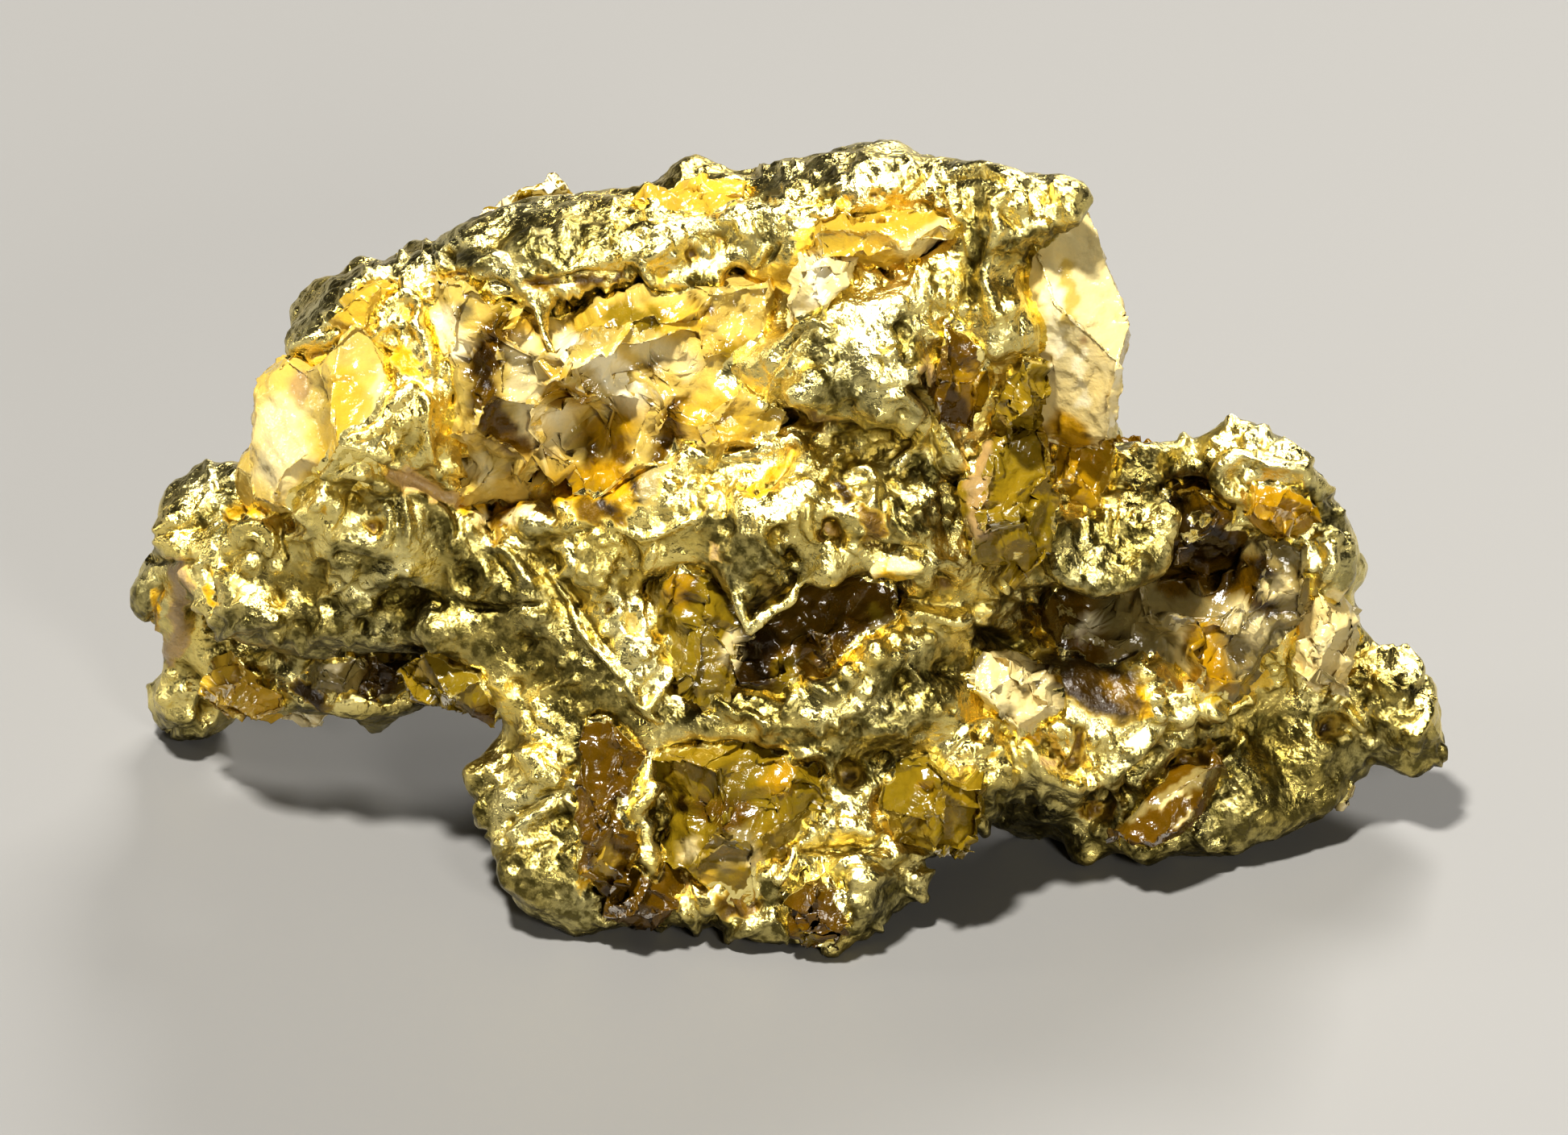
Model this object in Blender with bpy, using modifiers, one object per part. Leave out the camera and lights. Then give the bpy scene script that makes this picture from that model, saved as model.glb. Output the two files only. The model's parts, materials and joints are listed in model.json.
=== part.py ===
"""Gold nugget with quartz: a water-worn lump of native gold that grew through broken quartz.

One gold body, a network of rounded lumps and ridges with hollows between them, holds clear quartz.
Quartz that fills one hollow has grown together and is one solid, and a lone grain is a solid of
its own. Each sits in a pocket of its own shape with a little clearance.

Units are metres, +Z up. The nugget lies on its three feet, and the origin is the middle of its
box on the surface that it lies on.

Places are given in millimetres on a sketch plane that leans back from the upright, as a jeweller
looks down at a stone on the bench: across (to the right), up (along the plane) and back (level
distance behind the front foot).
"""

import math
import random
from collections import namedtuple

import bmesh
import bpy
from mathutils import Matrix, Vector, noise
from mathutils.bvhtree import BVHTree

MM = 0.001

# Driving dimensions
LENGTH = 16.5 * MM
DRAWN_LENGTH = 16.5
SCALE = LENGTH / DRAWN_LENGTH
LEAN = math.radians(30)

# How the gold is finished, in drawn millimetres
FINE_VOXEL = 0.15
MASS_VOXEL = 0.25
CREASE_SMOOTHING = 3
SWELL_SIZE = 1.1
SWELL_HEIGHT = 0.14
POCKET_GAP = 0.08
SOLE_LEVEL = 0.1
SKIN_TRIANGLES = 5400
GOLD_TRIANGLES = 6650
STONE_BREAKS = 15
STONE_GAP = 0.05

GOLD_RGB = (0.83, 0.62, 0.24, 1.0)
QUARTZ_RGB = (0.87, 0.76, 0.52, 1.0)

Mass = namedtuple("Mass", "across up back half_width half_depth half_height")
Hollow = namedtuple("Hollow", "across up half_width half_height half_depth roll")
Ridge = namedtuple("Ridge", "start_radius end_radius points")
Knob = namedtuple("Knob", "across up radius proud")
Pit = namedtuple("Pit", "across up radius sunk")
Stone = namedtuple("Stone", "across up half_width half_height half_depth roll proud")

# The big masses of gold, which merge into one body.
MASSES = {
    "crown right": Mass(0.8, 8.05, 4.2, 2.65, 1.9, 2.15),
    "crown middle": Mass(-2.2, 7.75, 4.2, 2.8, 1.85, 1.98),
    "crown left": Mass(-4.75, 7.35, 4.3, 1.7, 1.5, 1.5),
    "crown knob": Mass(2.75, 9.38, 3.4, 0.76, 0.8, 0.42),
    "neck": Mass(2.3, 8.0, 3.6, 0.75, 1.3, 1.4),
    "shoulder": Mass(0.6, 7.45, 2.4, 0.95, 0.8, 0.75),
    "waist": Mass(0.0, 6.0, 3.4, 3.6, 2.0, 1.4),
    "trunk": Mass(-0.4, 4.0, 3.0, 3.0, 1.9, 1.7),
    "left lobe": Mass(-5.7, 5.0, 4.2, 2.2, 1.4, 1.05),
    "left bridge": Mass(-3.6, 4.6, 3.4, 1.4, 1.4, 1.25),
    "left knob": Mass(-5.3, 5.5, 3.0, 0.98, 0.8, 0.8),
    "left shoulder": Mass(-7.2, 5.7, 4.8, 0.85, 0.8, 0.6),
    "left tip": Mass(-8.05, 4.75, 4.9, 0.52, 0.55, 0.52),
    "left column": Mass(-7.65, 4.3, 5.1, 0.35, 0.4, 0.8),
    "left foot": Mass(-7.65, 3.28, 5.5, 0.7, 0.65, 0.6),
    "left sole": Mass(-5.7, 3.65, 4.6, 1.6, 1.0, 0.42),
    "front lobe": Mass(-1.2, 1.9, 1.7, 2.3, 1.3, 1.25),
    "front foot": Mass(-0.1, 0.95, 0.85, 1.45, 0.75, 0.65),
    "front toe": Mass(-2.6, 1.05, 1.1, 1.15, 0.75, 0.6),
    "front knob": Mass(-3.4, 1.8, 1.6, 0.66, 0.7, 0.9),
    "front stem": Mass(-3.1, 3.0, 2.0, 0.45, 0.6, 0.8),
    "right lobe": Mass(4.9, 4.6, 3.9, 1.75, 1.2, 1.7),
    "right saddle": Mass(3.8, 5.6, 3.5, 1.2, 1.1, 0.93),
    "right brow": Mass(5.65, 6.05, 3.7, 0.75, 0.7, 0.6),
    "right cheek": Mass(6.38, 5.1, 3.8, 0.4, 0.6, 0.7),
    "right neck": Mass(6.4, 3.9, 3.9, 0.6, 0.6, 0.9),
    "right knob": Mass(7.33, 3.15, 3.6, 0.58, 0.6, 0.75),
    "right arch": Mass(6.3, 3.1, 3.9, 1.0, 0.7, 0.55),
    "right belly": Mass(3.3, 3.2, 2.9, 1.6, 1.2, 1.0),
    "right root": Mass(1.5, 2.6, 2.0, 1.1, 1.0, 0.95),
    "right sole": Mass(4.5, 2.2, 3.05, 2.4, 1.0, 0.74),
    "back": Mass(-0.6, 5.8, 4.9, 4.4, 2.0, 2.9),
    "heel": Mass(0.6, 3.4, 5.3, 2.6, 1.2, 0.95),
}

# Hollows sunk in the masses, most of them lined with quartz.
HOLLOWS = {
    "crown": Hollow(-2.7, 7.15, 1.75, 1.3, 1.2, 20),
    "crown right": Hollow(-0.6, 8.2, 0.8, 0.6, 0.6, 25),
    "crown sill": Hollow(-3.6, 6.15, 0.9, 0.45, 0.6, 0),
    "middle left": Hollow(-1.4, 4.25, 0.5, 0.95, 0.8, 3),
    "middle right": Hollow(0.25, 4.15, 1.1, 0.8, 1.1, 35),
    "right upper": Hollow(4.85, 5.5, 0.75, 0.6, 0.9, 0),
    "right": Hollow(4.35, 4.4, 1.55, 0.85, 1.0, 0),
    "right eye": Hollow(3.38, 6.2, 0.4, 0.7, 0.6, 5),
    "slot": Hollow(1.95, 7.5, 0.3, 0.7, 0.55, 5),
    "front": Hollow(-1.3, 1.95, 1.15, 1.1, 0.8, 0),
    "under crown knob": Hollow(2.9, 8.7, 0.5, 0.25, 0.5, 0),
}

# Ridges that run over the masses and bridge the hollows, as points (across, up).
RIDGES = {
    "crown rim": Ridge(0.24, 0.3, [(-6.5, 7.6), (-5.8, 7.95), (-5.1, 8.15), (-4.6, 8.5), (-3.6, 8.6),
                                   (-2.8, 8.7), (-2.0, 8.85), (-1.3, 9.05), (-0.4, 9.35)]),
    "crown edge": Ridge(0.22, 0.2, [(-5.2, 8.65), (-4.4, 8.95), (-3.4, 9.2), (-2.4, 9.4)]),
    "crown top": Ridge(0.3, 0.35, [(-0.4, 9.35), (0.5, 9.5), (1.4, 9.7), (2.4, 9.6)]),
    "strap": Ridge(0.2, 0.16, [(-4.6, 8.5), (-4.7, 8.0), (-4.5, 7.5), (-4.4, 7.0), (-4.45, 6.4)]),
    "cross strap": Ridge(0.15, 0.15, [(-3.4, 8.4), (-3.15, 7.7), (-2.75, 7.3), (-2.6, 6.8)]),
    "peak": Ridge(0.32, 0.16, [(-6.1, 5.9), (-5.5, 6.35), (-5.05, 6.85), (-4.85, 7.2)]),
    "peak flank": Ridge(0.2, 0.25, [(-4.9, 7.0), (-4.75, 6.4), (-4.4, 5.95), (-3.9, 5.7)]),
    "hollow sill": Ridge(0.2, 0.25, [(-3.8, 5.5), (-3.0, 5.5), (-2.4, 5.6), (-1.8, 6.0)]),
    "hollow ledge": Ridge(0.22, 0.22, [(-1.8, 6.1), (-1.2, 6.35), (-0.5, 6.35), (0.0, 6.1)]),
    "shoulder edge": Ridge(0.2, 0.25, [(-0.45, 7.1), (-0.35, 7.6), (0.1, 8.0), (0.9, 8.1)]),
    "arm": Ridge(0.3, 0.3, [(1.9, 9.5), (2.0, 9.1), (1.8, 8.6), (1.3, 8.3), (0.9, 8.0)]),
    "cord": Ridge(0.24, 0.15, [(2.45, 9.5), (2.35, 9.0), (2.3, 8.5), (2.55, 8.05), (2.85, 7.6),
                               (2.95, 6.9)]),
    "belt": Ridge(0.25, 0.3, [(0.9, 7.0), (1.4, 6.7), (1.6, 6.2), (1.3, 5.7), (0.5, 5.6), (-0.4, 5.7)]),
    "main ridge": Ridge(0.4, 0.3, [(-4.3, 5.5), (-3.8, 5.0), (-3.1, 4.2), (-2.5, 3.5), (-1.9, 3.0)]),
    "main ledge": Ridge(0.25, 0.35, [(-1.9, 3.05), (-1.2, 3.0), (-0.5, 3.0), (0.2, 3.25), (0.9, 3.8),
                                     (1.6, 4.2), (2.3, 4.5), (2.8, 5.0)]),
    "tongue": Ridge(0.42, 0.14, [(-0.6, 5.5), (-0.6, 5.1), (-0.65, 4.6), (-0.7, 4.2)]),
    "lip": Ridge(0.35, 0.35, [(2.9, 5.6), (3.2, 5.2), (3.7, 5.0), (4.2, 5.1), (4.35, 5.5)]),
    "right rim": Ridge(0.3, 0.22, [(3.9, 6.2), (4.7, 6.3), (5.4, 6.3), (6.1, 6.0), (6.5, 5.5),
                                   (6.6, 4.9), (6.3, 4.4)]),
    "inner rim": Ridge(0.16, 0.16, [(5.2, 6.0), (5.3, 5.6), (5.7, 5.35), (6.3, 5.3)]),
    "right sill": Ridge(0.22, 0.22, [(4.2, 3.3), (4.7, 3.1), (5.4, 3.1), (6.0, 3.3), (6.8, 3.3)]),
    "bright ledge": Ridge(0.22, 0.2, [(1.8, 2.75), (2.4, 2.7), (2.9, 2.45), (3.4, 2.25), (4.0, 2.35)]),
    "slanting plate": Ridge(0.16, 0.16, [(4.0, 1.8), (4.5, 2.2), (5.0, 2.5), (5.6, 2.95)]),
    "front post": Ridge(0.2, 0.2, [(-2.0, 3.0), (-1.95, 2.4), (-2.1, 1.7), (-1.9, 1.2)]),
    "left post": Ridge(0.16, 0.16, [(-2.7, 2.9), (-2.65, 2.3), (-2.7, 1.7), (-2.75, 1.2)]),
    "front sill": Ridge(0.18, 0.2, [(-1.8, 0.5), (-1.4, 0.85), (-0.8, 1.1), (-0.3, 1.4), (0.2, 1.6)]),
    "toe rim": Ridge(0.16, 0.16, [(-1.5, 0.7), (-1.1, 0.35), (-0.4, 0.45)]),
    "front wall": Ridge(0.25, 0.25, [(0.3, 2.8), (0.4, 2.2), (0.5, 1.7), (1.0, 1.35), (1.25, 1.8)]),
    "toe": Ridge(0.2, 0.2, [(0.1, 0.25), (0.5, 0.4), (0.9, 0.8)]),
    "right post": Ridge(0.16, 0.16, [(1.95, 2.6), (2.2, 2.1), (2.35, 1.5)]),
    "rib 1": Ridge(0.16, 0.16, [(-0.55, 5.4), (-0.4, 5.1), (-0.1, 4.95)]),
    "rib 2": Ridge(0.16, 0.16, [(0.0, 5.8), (0.05, 5.4), (0.3, 5.1)]),
    "rib 3": Ridge(0.18, 0.18, [(1.0, 6.0), (1.1, 5.5), (1.4, 5.3)]),
}

# Round knobs. Proud is how much of the ball stands out of the surface, where 1 is all of it.
KNOBS = [
    Knob(-6.75, 5.3, 0.4, 0.7), Knob(-7.85, 5.3, 0.28, 0.8), Knob(-6.0, 5.7, 0.24, 0.8),
    Knob(-7.0, 6.0, 0.3, 0.6), Knob(-4.0, 5.05, 0.3, 0.7), Knob(-2.6, 5.1, 0.38, 0.6),
    Knob(-2.3, 4.4, 0.35, 0.6), Knob(-2.0, 3.9, 0.35, 0.6), Knob(-5.9, 4.3, 0.3, 0.7),
    Knob(-5.1, 4.2, 0.28, 0.7), Knob(-6.6, 4.3, 0.35, 0.6), Knob(-4.5, 4.2, 0.35, 0.6),
    Knob(-5.5, 4.7, 0.25, 0.7), Knob(-7.4, 4.1, 0.22, 0.8), Knob(0.2, 4.95, 0.3, 0.6),
    Knob(1.5, 5.0, 0.35, 0.6), Knob(1.2, 5.4, 0.3, 0.7), Knob(2.5, 5.2, 0.25, 0.6),
    Knob(2.35, 7.7, 0.3, 0.6), Knob(0.9, 3.1, 0.4, 0.6), Knob(1.5, 3.3, 0.45, 0.5),
    Knob(0.2, 2.6, 0.3, 0.7), Knob(0.6, 1.9, 0.3, 0.7), Knob(2.3, 2.3, 0.35, 0.6),
    Knob(3.0, 1.9, 0.3, 0.6), Knob(3.5, 1.5, 0.3, 0.6), Knob(2.6, 1.5, 0.3, 0.6),
    Knob(4.2, 1.5, 0.25, 0.7), Knob(5.3, 6.5, 0.28, 0.9), Knob(6.4, 5.2, 0.3, 0.7),
    Knob(4.9, 3.4, 0.3, 0.7), Knob(4.2, 3.75, 0.28, 0.7), Knob(-3.2, 2.4, 0.3, 0.7),
    Knob(-3.4, 1.2, 0.4, 0.5), Knob(0.6, 0.9, 0.35, 0.6), Knob(-0.9, 9.6, 0.3, 0.6),
    Knob(-3.3, 8.9, 0.4, 0.5), Knob(-2.6, 9.0, 0.3, 0.6), Knob(-1.9, 9.15, 0.25, 0.7),
    Knob(2.0, 9.6, 0.35, 0.6), Knob(3.2, 9.5, 0.3, 0.5), Knob(0.1, 7.2, 0.3, 0.6),
    Knob(1.1, 7.4, 0.35, 0.5), Knob(7.2, 3.5, 0.35, 0.5), Knob(7.5, 2.9, 0.35, 0.5),
    Knob(-7.9, 3.4, 0.35, 0.5), Knob(-7.2, 3.6, 0.3, 0.5), Knob(1.5, 1.0, 0.3, 0.6),
    Knob(6.3, 2.7, 0.35, 0.6), Knob(5.5, 2.4, 0.3, 0.5),
]

# Round pits. Sunk is how far the middle of the ball that leaves the pit is behind the surface.
PITS = [Pit(-5.35, 5.42, 0.2, -0.05), Pit(-6.4, 5.5, 0.15, -0.05), Pit(3.6, 2.0, 0.22, 0.0),
        Pit(-0.05, 6.8, 0.2, 0.0), Pit(0.3, 5.3, 0.24, 0.0), Pit(-0.2, 5.05, 0.2, 0.0),
        Pit(1.35, 6.4, 0.2, 0.0), Pit(-7.2, 5.05, 0.18, 0.0)]

# Quartz. The stones of one entry overlap and are one solid. Proud is how far a stone's middle
# stands out of the masses, and is negative in a hollow.
QUARTZ = {
    "quartz_window": [Stone(-6.05, 6.65, 0.66, 0.95, 0.95, 10, -0.35),
                      Stone(-5.5, 6.8, 0.62, 0.85, 0.9, 8, -0.35),
                      Stone(-6.42, 6.35, 0.45, 0.5, 0.6, 25, 0.8)],
    "quartz_crown_hollow": [Stone(-3.6, 7.3, 0.7, 1.02, 0.8, 5, -0.6),
                            Stone(-4.2, 8.0, 0.38, 0.48, 0.5, 0, -0.3),
                            Stone(-2.2, 7.75, 0.95, 0.5, 0.7, 15, -0.7),
                            Stone(-2.75, 7.3, 0.6, 0.4, 0.6, -30, -0.5),
                            Stone(-1.0, 7.95, 0.6, 0.6, 0.6, 30, -0.6),
                            Stone(-2.2, 6.4, 0.7, 0.72, 0.7, 10, -0.7),
                            Stone(-3.9, 6.2, 0.6, 0.42, 0.5, 0, -0.45),
                            Stone(-0.95, 6.85, 0.62, 0.42, 0.6, 10, -0.25),
                            Stone(-1.6, 7.1, 0.5, 0.5, 0.6, 0, -0.7)],
    "quartz_slot": [Stone(1.92, 7.5, 0.26, 0.6, 0.45, 5, -0.25)],
    "quartz_drop": [Stone(2.68, 7.05, 0.26, 0.42, 0.4, -15, 0.1)],
    "quartz_block": [Stone(3.2, 7.9, 0.66, 1.25, 0.95, 4, 0.1)],
    "quartz_left_cap": [Stone(-5.45, 8.1, 0.36, 0.18, 0.35, 40, -0.1)],
    "quartz_crown_patch": [Stone(-1.35, 9.38, 0.62, 0.22, 0.4, 8, -0.15)],
    "quartz_crown_strip": [Stone(0.9, 9.0, 0.75, 0.24, 0.4, 5, -0.05)],
    "quartz_splinter": [Stone(0.15, 8.5, 0.24, 0.52, 0.4, -20, 0.0)],
    "quartz_right_eye": [Stone(3.38, 6.2, 0.34, 0.62, 0.45, 5, -0.2)],
    "quartz_pillar": [Stone(2.62, 5.85, 0.3, 0.7, 0.4, 5, 0.05),
                      Stone(2.25, 5.75, 0.26, 0.55, 0.4, 5, 0.0)],
    "quartz_right_upper": [Stone(4.85, 5.45, 0.68, 0.55, 0.6, 0, -0.75)],
    "quartz_brow": [Stone(5.85, 5.72, 0.32, 0.28, 0.35, -20, -0.05)],
    "quartz_right_hollow": [Stone(3.45, 4.1, 0.68, 0.8, 0.7, 15, -0.65),
                            Stone(4.4, 4.55, 0.6, 0.5, 0.6, 0, -0.6),
                            Stone(5.3, 4.4, 0.55, 0.5, 0.6, 20, -0.5),
                            Stone(5.1, 3.8, 0.42, 0.52, 0.5, 0, -0.35),
                            Stone(5.8, 4.85, 0.38, 0.55, 0.5, 15, -0.2)],
    "quartz_white_chip": [Stone(2.55, 3.4, 0.55, 0.42, 0.45, -25, 0.05)],
    "quartz_right_column": [Stone(6.45, 4.15, 0.34, 0.5, 0.4, 10, 0.1)],
    "quartz_tall_pair": [Stone(-1.5, 4.55, 0.4, 0.72, 0.5, 3, -0.35),
                         Stone(-1.15, 4.15, 0.38, 0.78, 0.5, -5, -0.3)],
    "quartz_heart": [Stone(0.35, 4.3, 0.9, 0.65, 0.7, 35, -0.75),
                     Stone(-0.45, 3.75, 0.4, 0.5, 0.5, 0, -0.55)],
    "quartz_front_hollow": [Stone(-0.9, 2.5, 0.95, 0.5, 0.6, 0, -0.45),
                            Stone(-0.9, 1.7, 0.65, 0.6, 0.6, 0, -0.4),
                            Stone(-0.3, 2.2, 0.4, 0.4, 0.45, 0, -0.2)],
    "quartz_front_slot": [Stone(-2.35, 2.45, 0.3, 0.52, 0.45, 0, -0.05),
                          Stone(-2.45, 1.55, 0.32, 0.5, 0.45, 0, 0.0),
                          Stone(-2.4, 2.0, 0.25, 0.4, 0.4, 0, -0.1)],
    "quartz_front_chip": [Stone(1.65, 2.05, 0.45, 0.52, 0.45, 25, 0.05)],
    "quartz_underside": [Stone(-4.2, 3.5, 0.66, 0.36, 0.5, -8, -0.05)],
    "quartz_left_chip": [Stone(-5.85, 3.7, 0.24, 0.2, 0.35, 0, 0.0)],
    "quartz_left_bead": [Stone(-5.3, 3.62, 0.24, 0.22, 0.35, 0, 0.0)],
    "quartz_left_wedge": [Stone(-7.0, 3.4, 0.42, 0.24, 0.4, -25, 0.0)],
    "quartz_toe_left": [Stone(-2.0, 0.9, 0.36, 0.34, 0.4, 0, -0.12)],
    "quartz_toe_right": [Stone(0.15, 0.75, 0.32, 0.36, 0.4, 10, -0.15)],
    "quartz_layer": [Stone(4.5, 2.0, 0.55, 0.26, 0.4, 38, 0.05)],
}

# The sides that the sketch plane doesn't show carry the same kind of lumps and grains.
HIDDEN_SEED = 11
HIDDEN_KNOBS = 120
HIDDEN_RIDGES = 30
HIDDEN_GRAINS = 11
HIDDEN_GRAIN_SPACING = 2.4

SIGHT = Vector((0.0, math.cos(LEAN), -math.sin(LEAN)))
PLANE_UP = Vector((0.0, math.sin(LEAN), math.cos(LEAN)))
ACROSS = Vector((1.0, 0.0, 0.0))
FACING = Matrix((ACROSS, PLANE_UP, -SIGHT)).transposed()


def drawn(across, up, back):
    """The point that shows at (across, up) on the sketch plane, `back` behind the front foot."""
    height = (up - back * math.sin(LEAN)) / math.cos(LEAN)
    return Vector((across, back, height)) * SCALE


def to_object(name, shape, collection=None):
    mesh = bpy.data.meshes.new(name)
    shape.to_mesh(mesh)
    shape.free()
    obj = bpy.data.objects.new(name, mesh)
    (collection or bpy.context.scene.collection).objects.link(obj)
    return obj


def applied(obj):
    """The object's mesh with its modifiers carried out, as a bmesh. The object is removed."""
    graph = bpy.context.evaluated_depsgraph_get()
    shape = bmesh.new()
    shape.from_mesh(obj.evaluated_get(graph).data)
    bpy.data.objects.remove(obj)
    return shape


class Balls:
    """A heap of balls and ellipsoids that is later fused into one skin."""

    def __init__(self, fineness):
        ball = bmesh.new()
        bmesh.ops.create_icosphere(ball, subdivisions=fineness, radius=1.0)
        self.ball = bpy.data.meshes.new("ball")
        ball.to_mesh(self.ball)
        ball.free()
        self.shape = bmesh.new()

    def add(self, centre, radii, turn=None):
        ball = self.ball.copy()
        size = Matrix.Diagonal([r * SCALE for r in radii])
        ball.transform(Matrix.Translation(centre) @ ((turn or Matrix.Identity(3)) @ size).to_4x4())
        self.shape.from_mesh(ball)
        bpy.data.meshes.remove(ball)

    def add_knob(self, place, normal, radius, proud):
        self.add(place + normal * radius * (2 * proud - 1) * SCALE, [radius] * 3)


def fused(shape, voxel, smoothing):
    """Everything in the bmesh as one skin, with its creases softened."""
    obj = to_object("fused", shape)
    remesh = obj.modifiers.new("Fuse", "REMESH")
    remesh.mode = "VOXEL"
    remesh.voxel_size = voxel * SCALE
    smooth = obj.modifiers.new("Soften", "SMOOTH")
    smooth.factor = 0.5
    smooth.iterations = smoothing
    return applied(obj)


def cut_away(shape, cutters):
    """The shape less every object in the collection. The cutters are removed."""
    obj = to_object("cut", shape)
    cut = obj.modifiers.new("Cut", "BOOLEAN")
    cut.operation = "DIFFERENCE"
    cut.operand_type = "COLLECTION"
    cut.collection = cutters
    shape = applied(obj)
    for cutter in list(cutters.objects):
        bpy.data.objects.remove(cutter)
    return shape


class Masses:
    """The fused masses, and the places where the sketch's lines of sight meet them."""

    def __init__(self):
        balls = Balls(4)
        for mass in MASSES.values():
            radii = (mass.half_width, mass.half_depth, mass.half_height)
            balls.add(drawn(mass.across, mass.up, mass.back), radii)
        self.shape = fused(balls.shape, MASS_VOXEL, 2)
        self.tree = BVHTree.FromBMesh(self.shape)
        self.low = Vector([min(v.co[k] for v in self.shape.verts) for k in range(3)])
        self.high = Vector([max(v.co[k] for v in self.shape.verts) for k in range(3)])

    def seen(self, across, up):
        """Where the line of sight through (across, up) first meets the masses, and the normal there.
        Off their edge it is the nearest point to that line."""
        start = (ACROSS * across + PLANE_UP * up) * SCALE - SIGHT * 3 * LENGTH
        place, normal, _, _ = self.tree.ray_cast(start, SIGHT)
        if place is None:
            near = [self.tree.find_nearest(drawn(across, up, back)) for back in range(8)]
            place, normal, _, _ = min(near, key=lambda found: found[3])
        return place, normal

    def unseen(self, chooser, count, apart, turned_away):
        """Seeded places, and their normals, on the sides that the sketch plane doesn't show."""
        size = self.high - self.low
        found = []
        while len(found) < count:
            way = Vector([chooser.gauss(0, 1) for _ in range(3)]).normalized()
            aim = self.low + size / 2 + Vector([chooser.uniform(-0.4, 0.4) * k for k in size])
            place, normal, _, _ = self.tree.ray_cast(aim + way * size.length, -way)
            if place is None or normal.dot(SIGHT) < turned_away or place.z < self.low.z + 0.6 * SCALE:
                continue
            if all((place - other).length > apart * SCALE for other, _ in found):
                found.append((place, normal))
        return found


def rolled(roll):
    """The turn of something that faces the sketch plane, rolled by that many degrees."""
    return FACING @ Matrix.Rotation(math.radians(roll), 3, "Z")


def smooth_line(points, steps=8):
    """A Catmull-Rom curve through the points."""
    points = [Vector(p) for p in points]
    ends = [2 * points[0] - points[1], *points, 2 * points[-1] - points[-2]]
    line = []
    for a, b, c, d in zip(ends, ends[1:], ends[2:], ends[3:]):
        for i in range(steps):
            t = i / steps
            bend = (2 * a - 5 * b + 4 * c - d) * t**2 + (3 * b - a - 3 * c + d) * t**3
            line.append(0.5 * (2 * b + (c - a) * t + bend))
    return [*line, points[-1]]


def add_ridge(balls, masses, ridge):
    """A row of overlapping balls along a line drawn over the masses, sunk to their middles."""
    line = smooth_line(ridge.points)
    for i, p in enumerate(line):
        radius = ridge.start_radius + (ridge.end_radius - ridge.start_radius) * i / (len(line) - 1)
        place, _ = masses.seen(p.x, p.y)
        balls.add(place, [radius] * 3)


def add_hidden_relief(balls, masses):
    """Knobs, and wandering ridges of balls, over the sides that the sketch plane doesn't show."""
    chooser = random.Random(HIDDEN_SEED)
    for place, normal in masses.unseen(chooser, HIDDEN_KNOBS, 0.5, 0.1):
        balls.add_knob(place, normal, chooser.uniform(0.22, 0.5), chooser.uniform(0.4, 0.65))
    for place, normal in masses.unseen(chooser, HIDDEN_RIDGES, 0.9, 0.3):
        along = normal.orthogonal().normalized()
        along.rotate(Matrix.Rotation(chooser.uniform(0, math.tau), 3, normal))
        radius = chooser.uniform(0.18, 0.32)
        for _ in range(chooser.randint(6, 14)):
            place, normal, _, _ = masses.tree.find_nearest(place + along * 0.7 * radius * SCALE)
            along = (along - normal * along.dot(normal)).normalized()
            along.rotate(Matrix.Rotation(chooser.uniform(-0.3, 0.3), 3, normal))
            balls.add_knob(place, normal, radius, 0.5)


def make_gold_skin(masses, cutters):
    """The whole gold body before its pockets and soles are cut: hollowed masses, ridges and knobs."""
    hollows = Balls(4)
    for hollow in HOLLOWS.values():
        place, _ = masses.seen(hollow.across, hollow.up)
        radii = (hollow.half_width, hollow.half_height, hollow.half_depth)
        hollows.add(place, radii, rolled(hollow.roll))
    hide(to_object("hollows", fused(hollows.shape, MASS_VOXEL, 2), cutters))

    balls = Balls(2)
    balls.shape = cut_away(masses.shape, cutters)
    for ridge in RIDGES.values():
        add_ridge(balls, masses, ridge)
    for knob in KNOBS:
        balls.add_knob(*masses.seen(knob.across, knob.up), knob.radius, knob.proud)
    add_hidden_relief(balls, masses)
    return fused(balls.shape, FINE_VOXEL, CREASE_SMOOTHING)


def swell(shape):
    """Gentle rises and dips, as water-worn gold has."""
    shape.normal_update()
    for v in shape.verts:
        rise = noise.fractal(v.co / (SWELL_SIZE * SCALE), 0.9, 2.1, 3)
        v.co += v.normal * rise * SWELL_HEIGHT * SCALE


def hide(cutter):
    cutter.hide_render = True
    cutter.display_type = "WIRE"


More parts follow.
